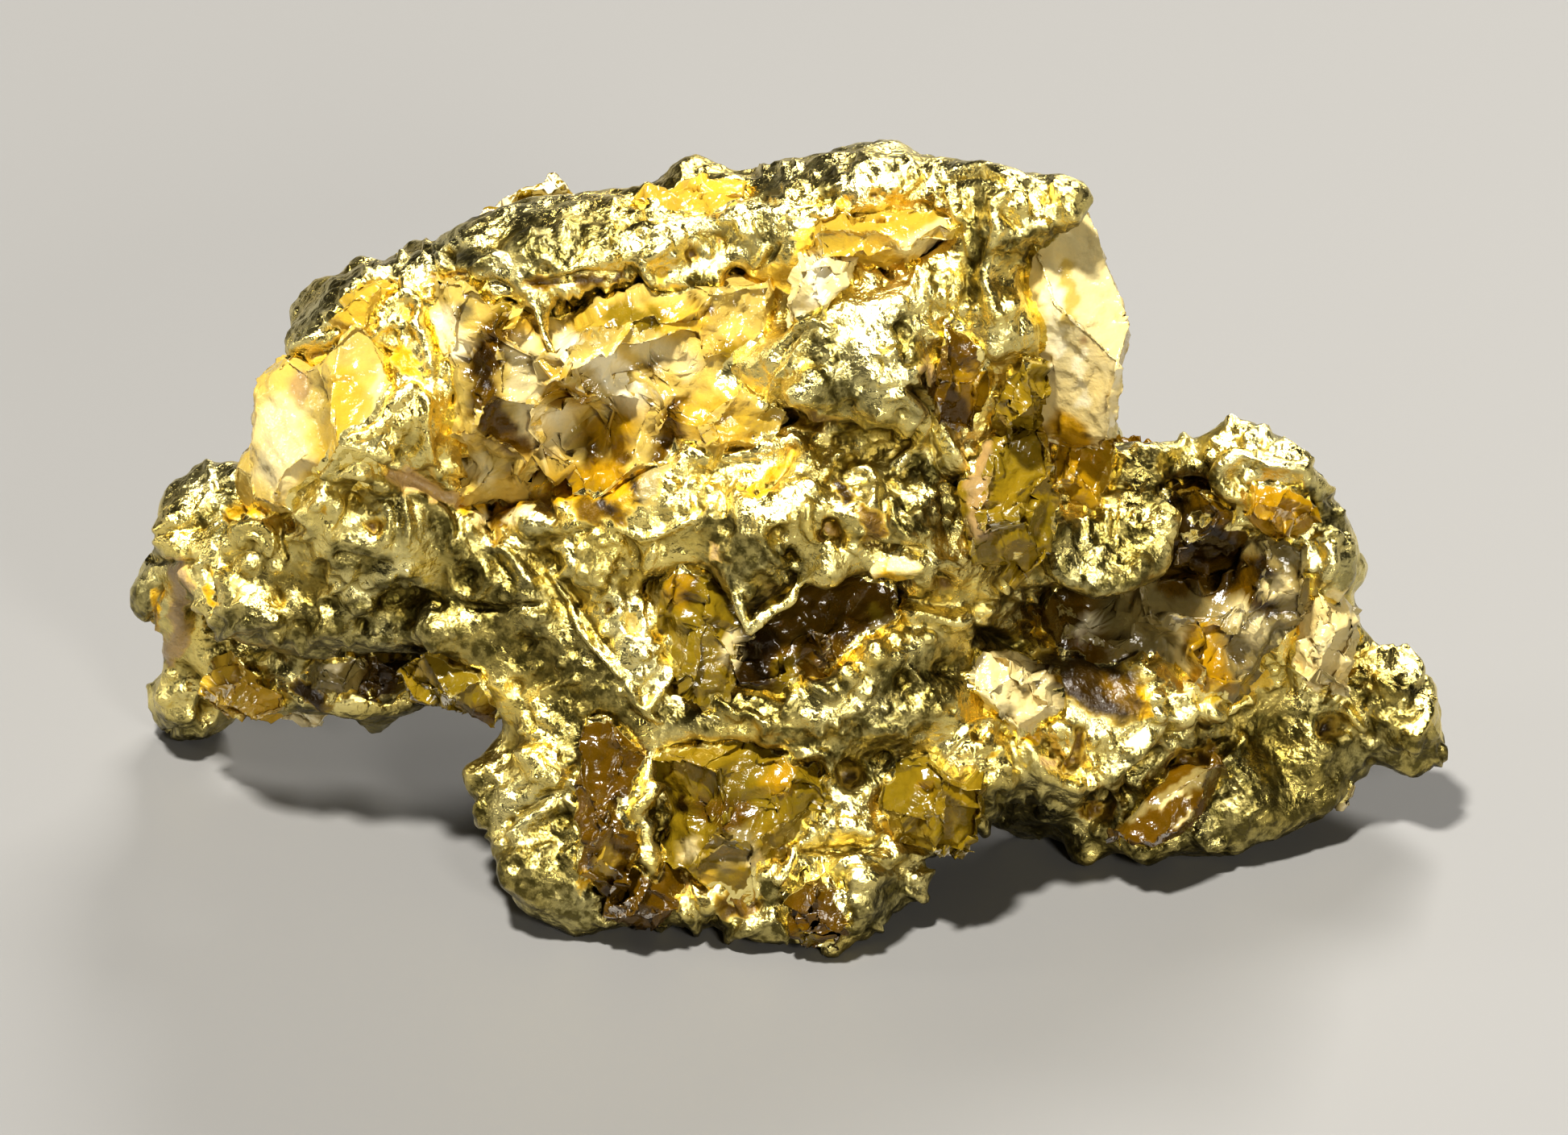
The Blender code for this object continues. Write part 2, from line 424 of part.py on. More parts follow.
class BrokenStone:
    """A block bounded by flat breaks. Each break is a point on its plane and the way it faces."""

    def __init__(self, seed, centre, radii, turn):
        self.centre = centre
        self.reach = 4 * max(radii) * SCALE
        size = turn @ Matrix.Diagonal([r * SCALE for r in radii])
        slant = turn @ Matrix.Diagonal([1 / r for r in radii])
        chooser = random.Random(seed)
        golden = math.pi * (3 - math.sqrt(5))
        self.breaks = []
        for i in range(STONE_BREAKS):
            height = 1 - 2 * (i + 0.5) / STONE_BREAKS
            level = math.sqrt(1 - height * height)
            way = Vector((level * math.cos(golden * i), level * math.sin(golden * i), height))
            way = (way + Vector([chooser.uniform(-0.3, 0.3) for _ in range(3)])).normalized()
            on_break = centre + size @ (way * chooser.uniform(0.8, 1.0))
            self.breaks.append((on_break, (slant @ way).normalized()))

    def solid(self, grow=0.0):
        """The block as a bmesh, with every break moved out by grow."""
        shape = bmesh.new()
        bmesh.ops.create_cube(shape, size=self.reach, matrix=Matrix.Translation(self.centre))
        for on_break, way in self.breaks:
            flatten(shape, on_break + way * grow, way)
        bmesh.ops.remove_doubles(shape, verts=shape.verts, dist=0.02 * SCALE)
        bmesh.ops.recalc_face_normals(shape, faces=shape.faces)
        return shape

    def keep_clear(self, other, gap):
        """Breaks this block flat along the other's nearest face, if the two would meet."""
        mine, others = self.solid(), other.solid(gap)
        if not (parted(mine, others) or parted(others, mine)):
            def distance(face):
                return (self.centre - face.calc_center_median()).dot(face.normal)
            face = max(others.faces, key=distance)
            self.breaks.append((face.calc_center_median(), -face.normal))
        mine.free()
        others.free()


def flatten(shape, place, way):
    """Cuts off and closes the shape beyond a plane."""
    every = [*shape.verts, *shape.edges, *shape.faces]
    cut = bmesh.ops.bisect_plane(shape, geom=every, plane_co=place, plane_no=way, clear_outer=True)
    rim = [e for e in cut["geom_cut"] if isinstance(e, bmesh.types.BMEdge)]
    if rim:
        bmesh.ops.holes_fill(shape, edges=rim, sides=0)


def parted(first, second):
    """Whether some face of the first has all of the second in front of it."""
    return any(all((v.co - f.calc_center_median()).dot(f.normal) > 0 for v in second.verts)
               for f in first.faces)


def make_stones(masses):
    """name: stones, for the quartz that the sketch plane shows, then for that on the hidden sides."""
    stones = {}
    seed = 0
    for name, group in QUARTZ.items():
        stones[name] = []
        for stone in group:
            place, _ = masses.seen(stone.across, stone.up)
            radii = (stone.half_width, stone.half_height, stone.half_depth)
            centre = place - SIGHT * stone.proud * SCALE
            stones[name].append(BrokenStone(seed, centre, radii, rolled(stone.roll)))
            seed += 1
    chooser = random.Random(HIDDEN_SEED + 1)
    hidden = masses.unseen(chooser, HIDDEN_GRAINS, HIDDEN_GRAIN_SPACING, 0.6)
    for i, (place, normal) in enumerate(hidden, start=1):
        side = normal.orthogonal().normalized()
        side.rotate(Matrix.Rotation(chooser.uniform(0, math.tau), 3, normal))
        turn = Matrix((side, normal.cross(side), normal)).transposed()
        radii = (chooser.uniform(0.5, 0.95), chooser.uniform(0.4, 0.7), chooser.uniform(0.5, 0.6))
        centre = place - normal * 0.1 * SCALE
        stones[f"quartz_rear_{i:02d}"] = [BrokenStone(seed + i, centre, radii, turn)]
    placed = []
    for group in stones.values():
        for stone in group:
            for other in placed:
                stone.keep_clear(other, STONE_GAP * SCALE)
        placed += group
    return stones


def joined(group):
    """The stones of one group as one solid."""
    base = to_object("stones", group[0].solid())
    others = []
    for stone in group[1:]:
        other = to_object("stone", stone.solid())
        join = base.modifiers.new("Join", "BOOLEAN")
        join.operation = "UNION"
        join.object = other
        others.append(other)
    shape = applied(base)
    for other in others:
        bpy.data.objects.remove(other)
    bmesh.ops.triangulate(shape, faces=shape.faces)
    return shape


def thinned(shape, triangles):
    bmesh.ops.triangulate(shape, faces=shape.faces)
    obj = to_object("thin", shape)
    thin = obj.modifiers.new("Thin", "DECIMATE")
    thin.ratio = min(1.0, triangles / len(obj.data.polygons))
    return applied(obj)


def largest_piece(shape):
    """Drops every crumb that the pockets cut free."""
    left, pieces = set(shape.verts), []
    while left:
        piece, edge = set(), {left.pop()}
        while edge:
            v = edge.pop()
            piece.add(v)
            edge |= {e.other_vert(v) for e in v.link_edges} - piece
        left -= piece
        pieces.append(piece)
    keep = max(pieces, key=len)
    bmesh.ops.delete(shape, geom=[v for v in shape.verts if v not in keep], context="VERTS")


def make_gold(masses, stones, cutters):
    shape = make_gold_skin(masses, cutters)
    swell(shape)
    shape = thinned(shape, SKIN_TRIANGLES)
    for name, group in stones.items():
        for stone in group:
            hide(to_object(name + " pocket", stone.solid(POCKET_GAP * SCALE), cutters))
    for pit in PITS:
        place, _ = masses.seen(pit.across, pit.up)
        hole = Balls(2)
        hole.add(place + SIGHT * pit.sunk * SCALE, [pit.radius] * 3)
        hide(to_object("pit", hole.shape, cutters))
    shape = thinned(cut_away(shape, cutters), GOLD_TRIANGLES)
    largest_piece(shape)
    flatten(shape, Vector((0.0, 0.0, SOLE_LEVEL * SCALE)), Vector((0.0, 0.0, -1.0)))
    bmesh.ops.triangulate(shape, faces=shape.faces)
    return shape


def material(name, rgb, metallic, roughness):
    made = bpy.data.materials.new(name)
    made.use_nodes = True
    shader = made.node_tree.nodes["Principled BSDF"]
    shader.inputs["Base Color"].default_value = rgb
    shader.inputs["Metallic"].default_value = metallic
    shader.inputs["Roughness"].default_value = roughness
    return made


def main():
    for obj in list(bpy.data.objects):
        bpy.data.objects.remove(obj)
    part = bpy.data.collections.new("gold nugget")
    cutters = bpy.data.collections.new("cutters")
    for collection in (part, cutters):
        bpy.context.scene.collection.children.link(collection)

    masses = Masses()
    stones = make_stones(masses)
    gold = to_object("gold_nugget", make_gold(masses, stones, cutters), part)
    gold.data.materials.append(material("native gold", GOLD_RGB, 1.0, 0.3))
    quartz = material("quartz", QUARTZ_RGB, 0.0, 0.1)
    for name, group in stones.items():
        to_object(name, joined(group), part).data.materials.append(quartz)

    every = [v.co for piece in part.objects for v in piece.data.vertices]
    low = Vector([min(co[k] for co in every) for k in range(3)])
    high = Vector([max(co[k] for co in every) for k in range(3)])
    origin = Vector(((low.x + high.x) / 2, (low.y + high.y) / 2, low.z))
    for piece in part.objects:
        piece.data.transform(Matrix.Translation(-origin))


main()
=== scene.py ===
"""The looks of the gold nugget: worn native gold with clear and amber quartz in its hollows."""

import json
import math
from collections import namedtuple

import bmesh
import bpy
import numpy as np
from mathutils import Matrix, Vector, noise
from mathutils.bvhtree import BVHTree


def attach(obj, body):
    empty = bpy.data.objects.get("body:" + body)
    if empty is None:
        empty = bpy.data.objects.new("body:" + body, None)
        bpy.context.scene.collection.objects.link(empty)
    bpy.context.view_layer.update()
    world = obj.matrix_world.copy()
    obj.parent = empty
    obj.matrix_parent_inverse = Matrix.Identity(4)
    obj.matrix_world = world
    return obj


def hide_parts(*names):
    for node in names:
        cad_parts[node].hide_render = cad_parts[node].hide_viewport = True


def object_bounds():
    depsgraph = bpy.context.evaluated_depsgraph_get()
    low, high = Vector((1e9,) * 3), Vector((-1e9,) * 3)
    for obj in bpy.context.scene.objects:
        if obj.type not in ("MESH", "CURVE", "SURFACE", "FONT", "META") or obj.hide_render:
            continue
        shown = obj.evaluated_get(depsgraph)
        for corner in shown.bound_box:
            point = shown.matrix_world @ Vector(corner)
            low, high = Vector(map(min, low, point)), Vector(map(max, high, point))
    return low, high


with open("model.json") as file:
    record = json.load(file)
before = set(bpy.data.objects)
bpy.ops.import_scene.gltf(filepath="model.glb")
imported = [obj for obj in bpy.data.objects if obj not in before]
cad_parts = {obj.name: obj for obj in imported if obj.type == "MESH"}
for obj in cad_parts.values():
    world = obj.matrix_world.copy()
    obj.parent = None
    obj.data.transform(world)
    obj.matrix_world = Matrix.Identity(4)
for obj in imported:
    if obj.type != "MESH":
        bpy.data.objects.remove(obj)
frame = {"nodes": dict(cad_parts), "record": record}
cad_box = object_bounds()

MM = 0.001

# The sculpting is done this many times larger, because Remesh takes no voxel under 0.1 mm.
ENLARGED = 100
UNIT = MM * ENLARGED

# The photograph as a sketch plane: it leans back as the camera looks down, at 100 pixels a millimetre.
LEAN = math.radians(30)
PIXELS_PER_MM = 100
ORIGIN_PIXEL = (1000, 1200)
SKETCH_IN_FRAME = Vector((0.208, -3.571, -0.1))
PICTURE_PIXELS = (1946, 1408)
CAMERA_DISTANCE = 300
MIDDLE_HEIGHT = 4.0

SIGHT = Vector((0.0, math.cos(LEAN), -math.sin(LEAN)))
PLANE_UP = Vector((0.0, math.sin(LEAN), math.cos(LEAN)))
ACROSS = Vector((1.0, 0.0, 0.0))

# Gold, in millimetres. THORN is how far a point stands out at most from what is around it.
MELT_VOXEL = 0.11
MELT_SMOOTHING = 6
SKIN_VOXEL = 0.052
SKIN_TRIANGLES = 196000
GRAIN_SIZE, GRAIN_HEIGHT = 0.6, 0.05
KNOB_SIZES_AND_HEIGHTS = ((0.42, 0.05), (0.19, 0.022))
BLUNTING_ROUNDS = (14, 5)
THORN = 0.055
# How far the balls of a lip are sunk in behind what the camera meets
LIP_SINK = 0.02
RELIEF_ROUNDS = 30
HIDDEN_PATINA_SIZE, HIDDEN_PATINA, HIDDEN_PATINA_SWING = 0.9, 0.25, 1.5

# Quartz, in millimetres. Grains that touch are grown together by CLOSING. WEAR is the share of an open
# grain's height that is worn away, counted from OPEN_GAP off the gold over OPEN_RANGE.
QUARTZ_GROWTH = 0.11
QUARTZ_VOXEL = 0.05
CLOSING = 0.18
WEAR = 0.5
REAR_WEAR = 0.85
OPEN_GAP, OPEN_RANGE = 0.15, 0.6
FREE_STANDING = ("quartz_block", "quartz_window", "quartz_layer")
# The facets' spacing, how flat they are (1 is a plane), and how much they slant
FACETS = ((0.45, 0.95, 0.26), (0.18, 0.6, 0.12))
FEWEST_FACETS = 6
# How much a different facing counts against a distance when points are shared out among facets
FACING_WEIGHT = 3
SHARPEST_CORNER = 1.5
# Surfaces turned further than this from the camera don't take the picture's tints
TURNED_AWAY = 0.2
# How see-through the quartz is, and how much less so where its tint's blue is over PALE_FROM
CLARITY = 0.50
MILKINESS = 0.6
PALE_FROM, PALE_RANGE = 0.1, 0.6
# How far films of gold creep out over the quartz
GILT_REACH = 0.14
QUARTZ_IOR = 1.544


def sketched(x, y):
    """The point of the sketch plane under a pixel, in millimetres in the frame."""
    across = (x - ORIGIN_PIXEL[0]) / PIXELS_PER_MM
    up = (ORIGIN_PIXEL[1] - y) / PIXELS_PER_MM
    return ACROSS * across + PLANE_UP * up + SKETCH_IN_FRAME


def picture_aim():
    """The point in the nugget's middle plane that shows in the picture's middle."""
    aim = sketched(PICTURE_PIXELS[0] / 2, PICTURE_PIXELS[1] / 2)
    return aim + SIGHT * (Vector((0.0, 0.0, MIDDLE_HEIGHT)) - aim).dot(SIGHT)


def in_picture(points):
    """The pixels that points in the frame show at, and their distance along the view, in millimetres."""
    from_eye = points - np.array(picture_aim() - SIGHT * CAMERA_DISTANCE)
    depth = from_eye @ np.array(SIGHT)
    scale = PIXELS_PER_MM * CAMERA_DISTANCE / depth
    x = PICTURE_PIXELS[0] / 2 + from_eye @ np.array(ACROSS) * scale
    y = PICTURE_PIXELS[1] / 2 - from_eye @ np.array(PLANE_UP) * scale
    return np.stack((x, y), 1), depth


def pairs(numbers):
    """The places in x, y, x, y and so on."""
    return list(zip(numbers[::2], numbers[1::2]))


# ---------------------------------------------------------------- features of the gold

# A stroke runs along places in the picture. It is `width` pixels from its middle to its edge, and its
# middle rises or sinks by `rise` millimetres. One with a single place is a bump or a dent.
Stroke = namedtuple("Stroke", "width rise points")


def rib(width, rise, *places):
    return Stroke(width, rise, pairs(places))


def groove(width, depth, *places):
    return Stroke(width, -depth, pairs(places))


bump, dent = rib, groove

LEFT_LOBE = [
    groove(7, 0.09, 192,665, 208,660, 225,657, 252,650),
    groove(6, 0.07, 243,648, 242,630, 252,612, 268,604, 287,607),
    rib(9, 0.08, 258,580, 262,598, 256,618, 240,640), bump(10, 0.08, 212,645), bump(9, 0.06, 228,640),
    groove(13, 0.3, 287,636, 303,634, 325,631, 350,618),
    rib(8, 0.13, 284,684, 288,668, 298,656, 312,651, 328,653, 338,664, 338,680, 330,690),
    rib(5, 0.06, 298,678, 303,668, 314,664, 323,672, 322,684), dent(9, 0.1, 311,676),
    groove(5, 0.08, 293,686, 310,685, 332,692), bump(20, 0.14, 308,700), bump(13, 0.1, 341,703),
    bump(14, 0.1, 288,714), bump(8, 0.1, 247,703), groove(5, 0.08, 283,700, 292,712, 304,722),
    groove(4, 0.06, 325,700, 330,712), rib(9, 0.11, 366,634, 379,640, 389,652, 382,666, 362,666),
    dent(8, 0.14, 365,651), rib(10, 0.12, 392,628, 403,618, 418,622, 416,638, 409,652, 413,668),
    dent(6, 0.08, 401,638), groove(6, 0.1, 352,655, 350,675, 358,690),
    rib(10, 0.12, 398,612, 420,592, 441,582, 458,589, 478,599, 500,604, 522,614, 545,632, 558,655, 560,676),
    groove(10, 0.14, 455,572, 472,583, 497,594, 522,602, 545,614, 562,630),
    rib(9, 0.17, 512,480, 500,495, 486,514, 472,530, 455,541, 440,546, 428,560, 418,577, 404,595),
    rib(8, 0.12, 514,482, 527,497, 527,515, 529,540, 534,565, 545,590), bump(8, 0.06, 478,535),
    bump(9, 0.06, 445,560), bump(9, 0.06, 490,548), bump(9, 0.06, 484,565), dent(10, 0.08, 492,513),
    dent(9, 0.07, 508,560), rib(5, 0.05, 500,555, 510,566, 522,564), dent(13, 0.25, 465,655),
    bump(8, 0.09, 446,647), dent(8, 0.06, 463,636), rib(9, 0.1, 476,622, 484,638, 482,655, 476,670),
    groove(5, 0.08, 487,612, 493,635, 493,656, 499,678), rib(8, 0.09, 501,614, 503,635, 508,655, 502,676),
    rib(7, 0.05, 462,604, 478,611, 489,624), bump(20, 0.1, 215,678), bump(9, 0.07, 226,690),
    bump(9, 0.07, 188,722), groove(8, 0.12, 185,692, 200,695, 215,698, 238,698),
    groove(7, 0.16, 199,730, 193,750, 188,770, 187,792), groove(6, 0.16, 255,705, 261,722, 263,740, 263,757),
    rib(20, 0.1, 222,705, 224,740, 222,775, 215,805), rib(8, 0.1, 248,748, 252,768, 255,788),
    rib(7, 0.09, 262,757, 275,779, 290,778), rib(8, 0.1, 303,747, 285,756, 272,755),
    rib(8, 0.1, 306,774, 285,781, 262,785), rib(6, 0.08, 288,794, 270,796, 258,798),
    rib(7, 0.08, 279,723, 286,730, 284,746), bump(11, 0.09, 213,836), bump(14, 0.1, 226,856),
    bump(13, 0.09, 205,866), bump(8, 0.07, 188,852), rib(7, 0.08, 211,885, 225,890, 240,884),
    dent(18, 0.2, 255,885), bump(13, 0.1, 250,907), bump(14, 0.08, 195,927),
    groove(6, 0.1, 178,905, 200,912, 225,905), bump(8, 0.06, 178,868), bump(8, 0.05, 180,880),
    groove(5, 0.07, 235,830, 248,850, 252,875), bump(10, 0.1, 264,817), bump(9, 0.08, 285,820),
    rib(5, 0.07, 330,842, 345,857, 362,862, 376,874), rib(5, 0.07, 325,897, 338,905, 350,910),
    bump(12, 0.12, 434,712), rib(11, 0.14, 454,724, 468,716, 482,713),
    rib(10, 0.14, 402,742, 414,733, 427,723), rib(8, 0.1, 440,755, 458,748), bump(13, 0.12, 343,771),
    bump(10, 0.1, 345,794), bump(10, 0.1, 371,799), rib(9, 0.12, 378,801, 394,786, 405,768, 400,750),
    bump(9, 0.08, 410,720), dent(14, 0.16, 400,702), dent(16, 0.14, 345,742), dent(14, 0.14, 372,775),
    dent(14, 0.12, 320,790), groove(10, 0.14, 420,690, 450,700, 480,705),
    groove(14, 0.16, 480,748, 510,742, 545,748), dent(12, 0.12, 450,775), dent(12, 0.1, 508,770),
    bump(9, 0.08, 432,795), bump(8, 0.08, 462,793), bump(7, 0.07, 487,780), bump(11, 0.1, 505,706),
    bump(8, 0.07, 503,728), dent(12, 0.12, 430,812), rib(7, 0.08, 566,681, 574,679, 580,689, 573,698),
    rib(9, 0.13, 603,703, 609,718, 602,732, 592,740), rib(7, 0.09, 561,704, 562,722, 572,736, 588,742),
    dent(12, 0.12, 583,716), rib(10, 0.14, 618,678, 634,690, 647,708, 656,724),
    rib(6, 0.1, 626,671, 650,679, 673,690, 690,706), groove(6, 0.09, 610,690, 624,706, 634,724),
    rib(9, 0.16, 683,708, 698,733, 711,755, 720,776, 736,797, 752,814, 773,838), bump(7, 0.06, 596,770),
    bump(9, 0.08, 643,781), bump(9, 0.08, 668,787), bump(7, 0.06, 663,765),
    groove(9, 0.1, 580,750, 610,756, 640,752, 668,752), dent(13, 0.1, 655,800),
    rib(8, 0.1, 676,858, 690,850, 716,842), bump(9, 0.08, 672,825), bump(8, 0.07, 700,823),
    rib(6, 0.08, 717,878, 728,886, 740,876), dent(16, 0.15, 640,850), dent(12, 0.08, 712,806),
]

CROWN_LEFT = [
    rib(9, 0.12, 366,432, 380,424, 394,418), rib(9, 0.13, 408,425, 420,415, 430,406),
    rib(8, 0.1, 435,412, 447,404, 457,398), rib(13, 0.15, 457,430, 466,416, 476,407, 485,402),
    bump(12, 0.13, 430,368), bump(10, 0.1, 444,355), bump(12, 0.13, 458,342), bump(9, 0.09, 471,333),
    bump(9, 0.11, 500,321), bump(9, 0.1, 530,308), bump(9, 0.09, 543,310), bump(11, 0.13, 548,325),
    rib(10, 0.15, 505,358, 512,345, 522,335, 533,330),
    rib(10, 0.17, 474,392, 485,380, 500,372, 515,368, 523,378, 522,392, 515,402, 522,412, 530,428, 535,442,
        535,455), dent(9, 0.14, 507,386), dent(9, 0.14, 508,415),
    groove(6, 0.16, 522,362, 527,378, 530,395, 540,415, 547,435, 548,455, 545,470),
    rib(7, 0.13, 555,440, 556,455, 558,468, 560,482),
    groove(8, 0.12, 385,440, 405,438, 425,432, 445,436, 470,438, 490,436),
    groove(6, 0.1, 487,400, 487,415, 492,428), groove(8, 0.12, 400,395, 425,396, 450,388),
    groove(12, 0.14, 440,378, 455,365, 470,352), rib(8, 0.12, 590,335, 605,328, 620,318),
    bump(9, 0.09, 595,345), bump(10, 0.11, 622,320), groove(7, 0.16, 540,343, 555,341, 575,341),
    groove(6, 0.12, 558,312, 562,322, 560,335), groove(7, 0.13, 590,352, 610,352, 632,360),
    bump(6, 0.07, 597,361), bump(6, 0.07, 613,360), rib(6, 0.08, 575,300, 595,296, 612,300),
    bump(7, 0.07, 605,308),
]

CROWN_TOP = [
    bump(15, 0.12, 700,288), bump(12, 0.13, 752,300), bump(10, 0.11, 757,284), bump(11, 0.14, 760,320),
    bump(9, 0.11, 736,330), rib(8, 0.11, 700,340, 712,336, 722,330), bump(10, 0.1, 797,286),
    bump(17, 0.1, 815,286), bump(8, 0.07, 825,287), bump(9, 0.09, 675,300), bump(9, 0.08, 660,285),
    groove(6, 0.13, 772,282, 785,272, 805,267, 822,272), groove(6, 0.1, 720,285, 722,300, 715,318),
    rib(10, 0.14, 805,318, 817,312, 826,306), rib(9, 0.13, 797,328, 802,342, 810,350),
    bump(11, 0.12, 837,318), dent(13, 0.14, 822,340), dent(13, 0.16, 675,335), dent(8, 0.09, 685,290),
    groove(8, 0.18, 655,352, 680,350, 700,347, 720,342, 745,343, 770,345),
    groove(8, 0.14, 780,335, 790,350, 800,365), bump(16, 0.12, 762,258), dent(7, 0.08, 797,256),
    bump(13, 0.14, 805,240), bump(13, 0.15, 848,228), dent(9, 0.1, 822,242), dent(12, 0.1, 870,255),
    dent(14, 0.1, 920,240), rib(8, 0.15, 895,275, 908,270, 920,275, 924,288), rib(6, 0.12, 940,275, 945,290),
    bump(8, 0.12, 845,293), dent(12, 0.15, 860,315), dent(8, 0.12, 895,300), bump(9, 0.09, 880,315),
    rib(8, 0.14, 935,328, 945,320, 950,310), groove(7, 0.13, 955,322, 963,305),
    groove(6, 0.12, 915,265, 935,252, 950,246, 962,252), bump(11, 0.13, 982,268), bump(8, 0.1, 972,278),
    bump(10, 0.12, 975,213), bump(10, 0.09, 948,212), rib(7, 0.1, 975,235, 988,232, 1000,230),
    dent(22, 0.2, 915,350), rib(7, 0.1, 880,362, 885,352, 892,345), bump(8, 0.09, 858,345),
    groove(6, 0.08, 850,285, 870,290, 890,292), bump(8, 0.07, 805,262), bump(10, 0.08, 868,240),
    groove(4, 0.09, 680,355, 690,365, 695,378), groove(4, 0.09, 700,370, 710,385, 706,400),
    groove(4, 0.09, 722,372, 725,385, 736,392), groove(5, 0.09, 740,362, 760,368, 775,365),
    bump(8, 0.08, 702,362), bump(8, 0.08, 717,360), bump(9, 0.09, 737,376), bump(9, 0.09, 753,358),
    bump(9, 0.09, 770,380), bump(9, 0.08, 690,385), bump(8, 0.08, 847,372), groove(6, 0.1, 840,365, 845,390),
    rib(10, 0.13, 1070,203, 1085,208, 1098,210), bump(9, 0.09, 1111,208),
    rib(12, 0.16, 1125,205, 1132,215, 1138,223), bump(10, 0.11, 1160,212), bump(9, 0.09, 1010,221),
    bump(8, 0.09, 990,208), groove(8, 0.14, 1014,242, 1025,246, 1036,240), dent(7, 0.11, 985,242),
    groove(5, 0.09, 982,256, 1000,252, 1020,250), dent(11, 0.1, 1050,250), bump(10, 0.09, 1062,212),
    bump(12, 0.14, 1035,277), bump(8, 0.1, 1022,268), rib(8, 0.13, 1080,288, 1095,284, 1108,290),
    bump(10, 0.13, 1120,285), rib(8, 0.13, 1130,282, 1138,272, 1140,262),
    groove(7, 0.12, 1040,262, 1052,270, 1062,272), dent(10, 0.12, 1085,243),
    rib(5, 0.09, 1104,241, 1111,233, 1120,227), rib(5, 0.09, 1119,243, 1126,234, 1134,227),
    dent(8, 0.12, 1145,256), dent(7, 0.09, 1085,222), bump(9, 0.08, 1165,255), bump(9, 0.1, 1012,262),
    groove(5, 0.09, 1065,270, 1085,272, 1105,266), dent(7, 0.09, 1148,222), bump(9, 0.07, 1040,215),
]

CROWN_RIGHT = [
    rib(9, 0.2, 1180,236, 1184,247, 1190,258, 1197,272), rib(6, 0.14, 1200,240, 1203,255, 1203,270),
    groove(9, 0.17, 1172,225, 1190,218, 1210,215, 1230,218, 1250,226),
    rib(9, 0.2, 1262,240, 1248,243, 1240,252, 1238,265, 1240,280, 1235,295, 1228,310, 1225,325),
    rib(14, 0.18, 1222,335, 1222,350, 1228,365, 1231,380, 1238,393), bump(16, 0.16, 1254,380),
    bump(17, 0.22, 1267,255), bump(11, 0.16, 1296,280), bump(15, 0.17, 1328,264), bump(6, 0.07, 1345,278),
    groove(7, 0.16, 1243,262, 1253,270, 1263,281), dent(8, 0.1, 1297,236), dent(9, 0.13, 1300,247),
    bump(10, 0.11, 1310,231), dent(12, 0.14, 1332,290), dent(10, 0.1, 1313,290),
    groove(5, 0.12, 1250,228, 1262,235, 1272,243, 1279,253, 1283,266), dent(7, 0.09, 1255,305),
    bump(7, 0.08, 1268,310), dent(7, 0.1, 1283,312), bump(7, 0.08, 1292,303), bump(8, 0.09, 1266,326),
    dent(6, 0.09, 1250,318), bump(6, 0.08, 1243,301), bump(8, 0.07, 1275,290),
    rib(6, 0.12, 1203,290, 1204,303, 1206,316), rib(5, 0.1, 1231,245, 1231,257), bump(8, 0.09, 1222,288),
    rib(6, 0.12, 1148,330, 1150,346), rib(6, 0.12, 1152,355, 1155,371), rib(6, 0.12, 1170,362, 1168,379),
    bump(8, 0.1, 1185,370), bump(9, 0.1, 1130,360), bump(8, 0.09, 1120,375), dent(8, 0.12, 1095,352),
    rib(9, 0.13, 1065,335, 1075,345, 1086,350), groove(7, 0.18, 1078,318, 1088,325, 1098,334, 1105,341),
    bump(9, 0.1, 1088,340), rib(5, 0.09, 1190,345, 1194,358), bump(7, 0.09, 1178,340), dent(8, 0.1, 1192,375),
    rib(7, 0.12, 1140,335, 1135,348), bump(9, 0.08, 1112,395), bump(8, 0.1, 1148,402),
    dent(8, 0.09, 1160,385), rib(5, 0.08, 1057,320, 1070,316, 1082,322), groove(5, 0.07, 1160,270, 1180,275),
    groove(7, 0.12, 1205,330, 1200,350, 1200,372), bump(8, 0.09, 1210,385), bump(5, 0.05, 1235,270),
]

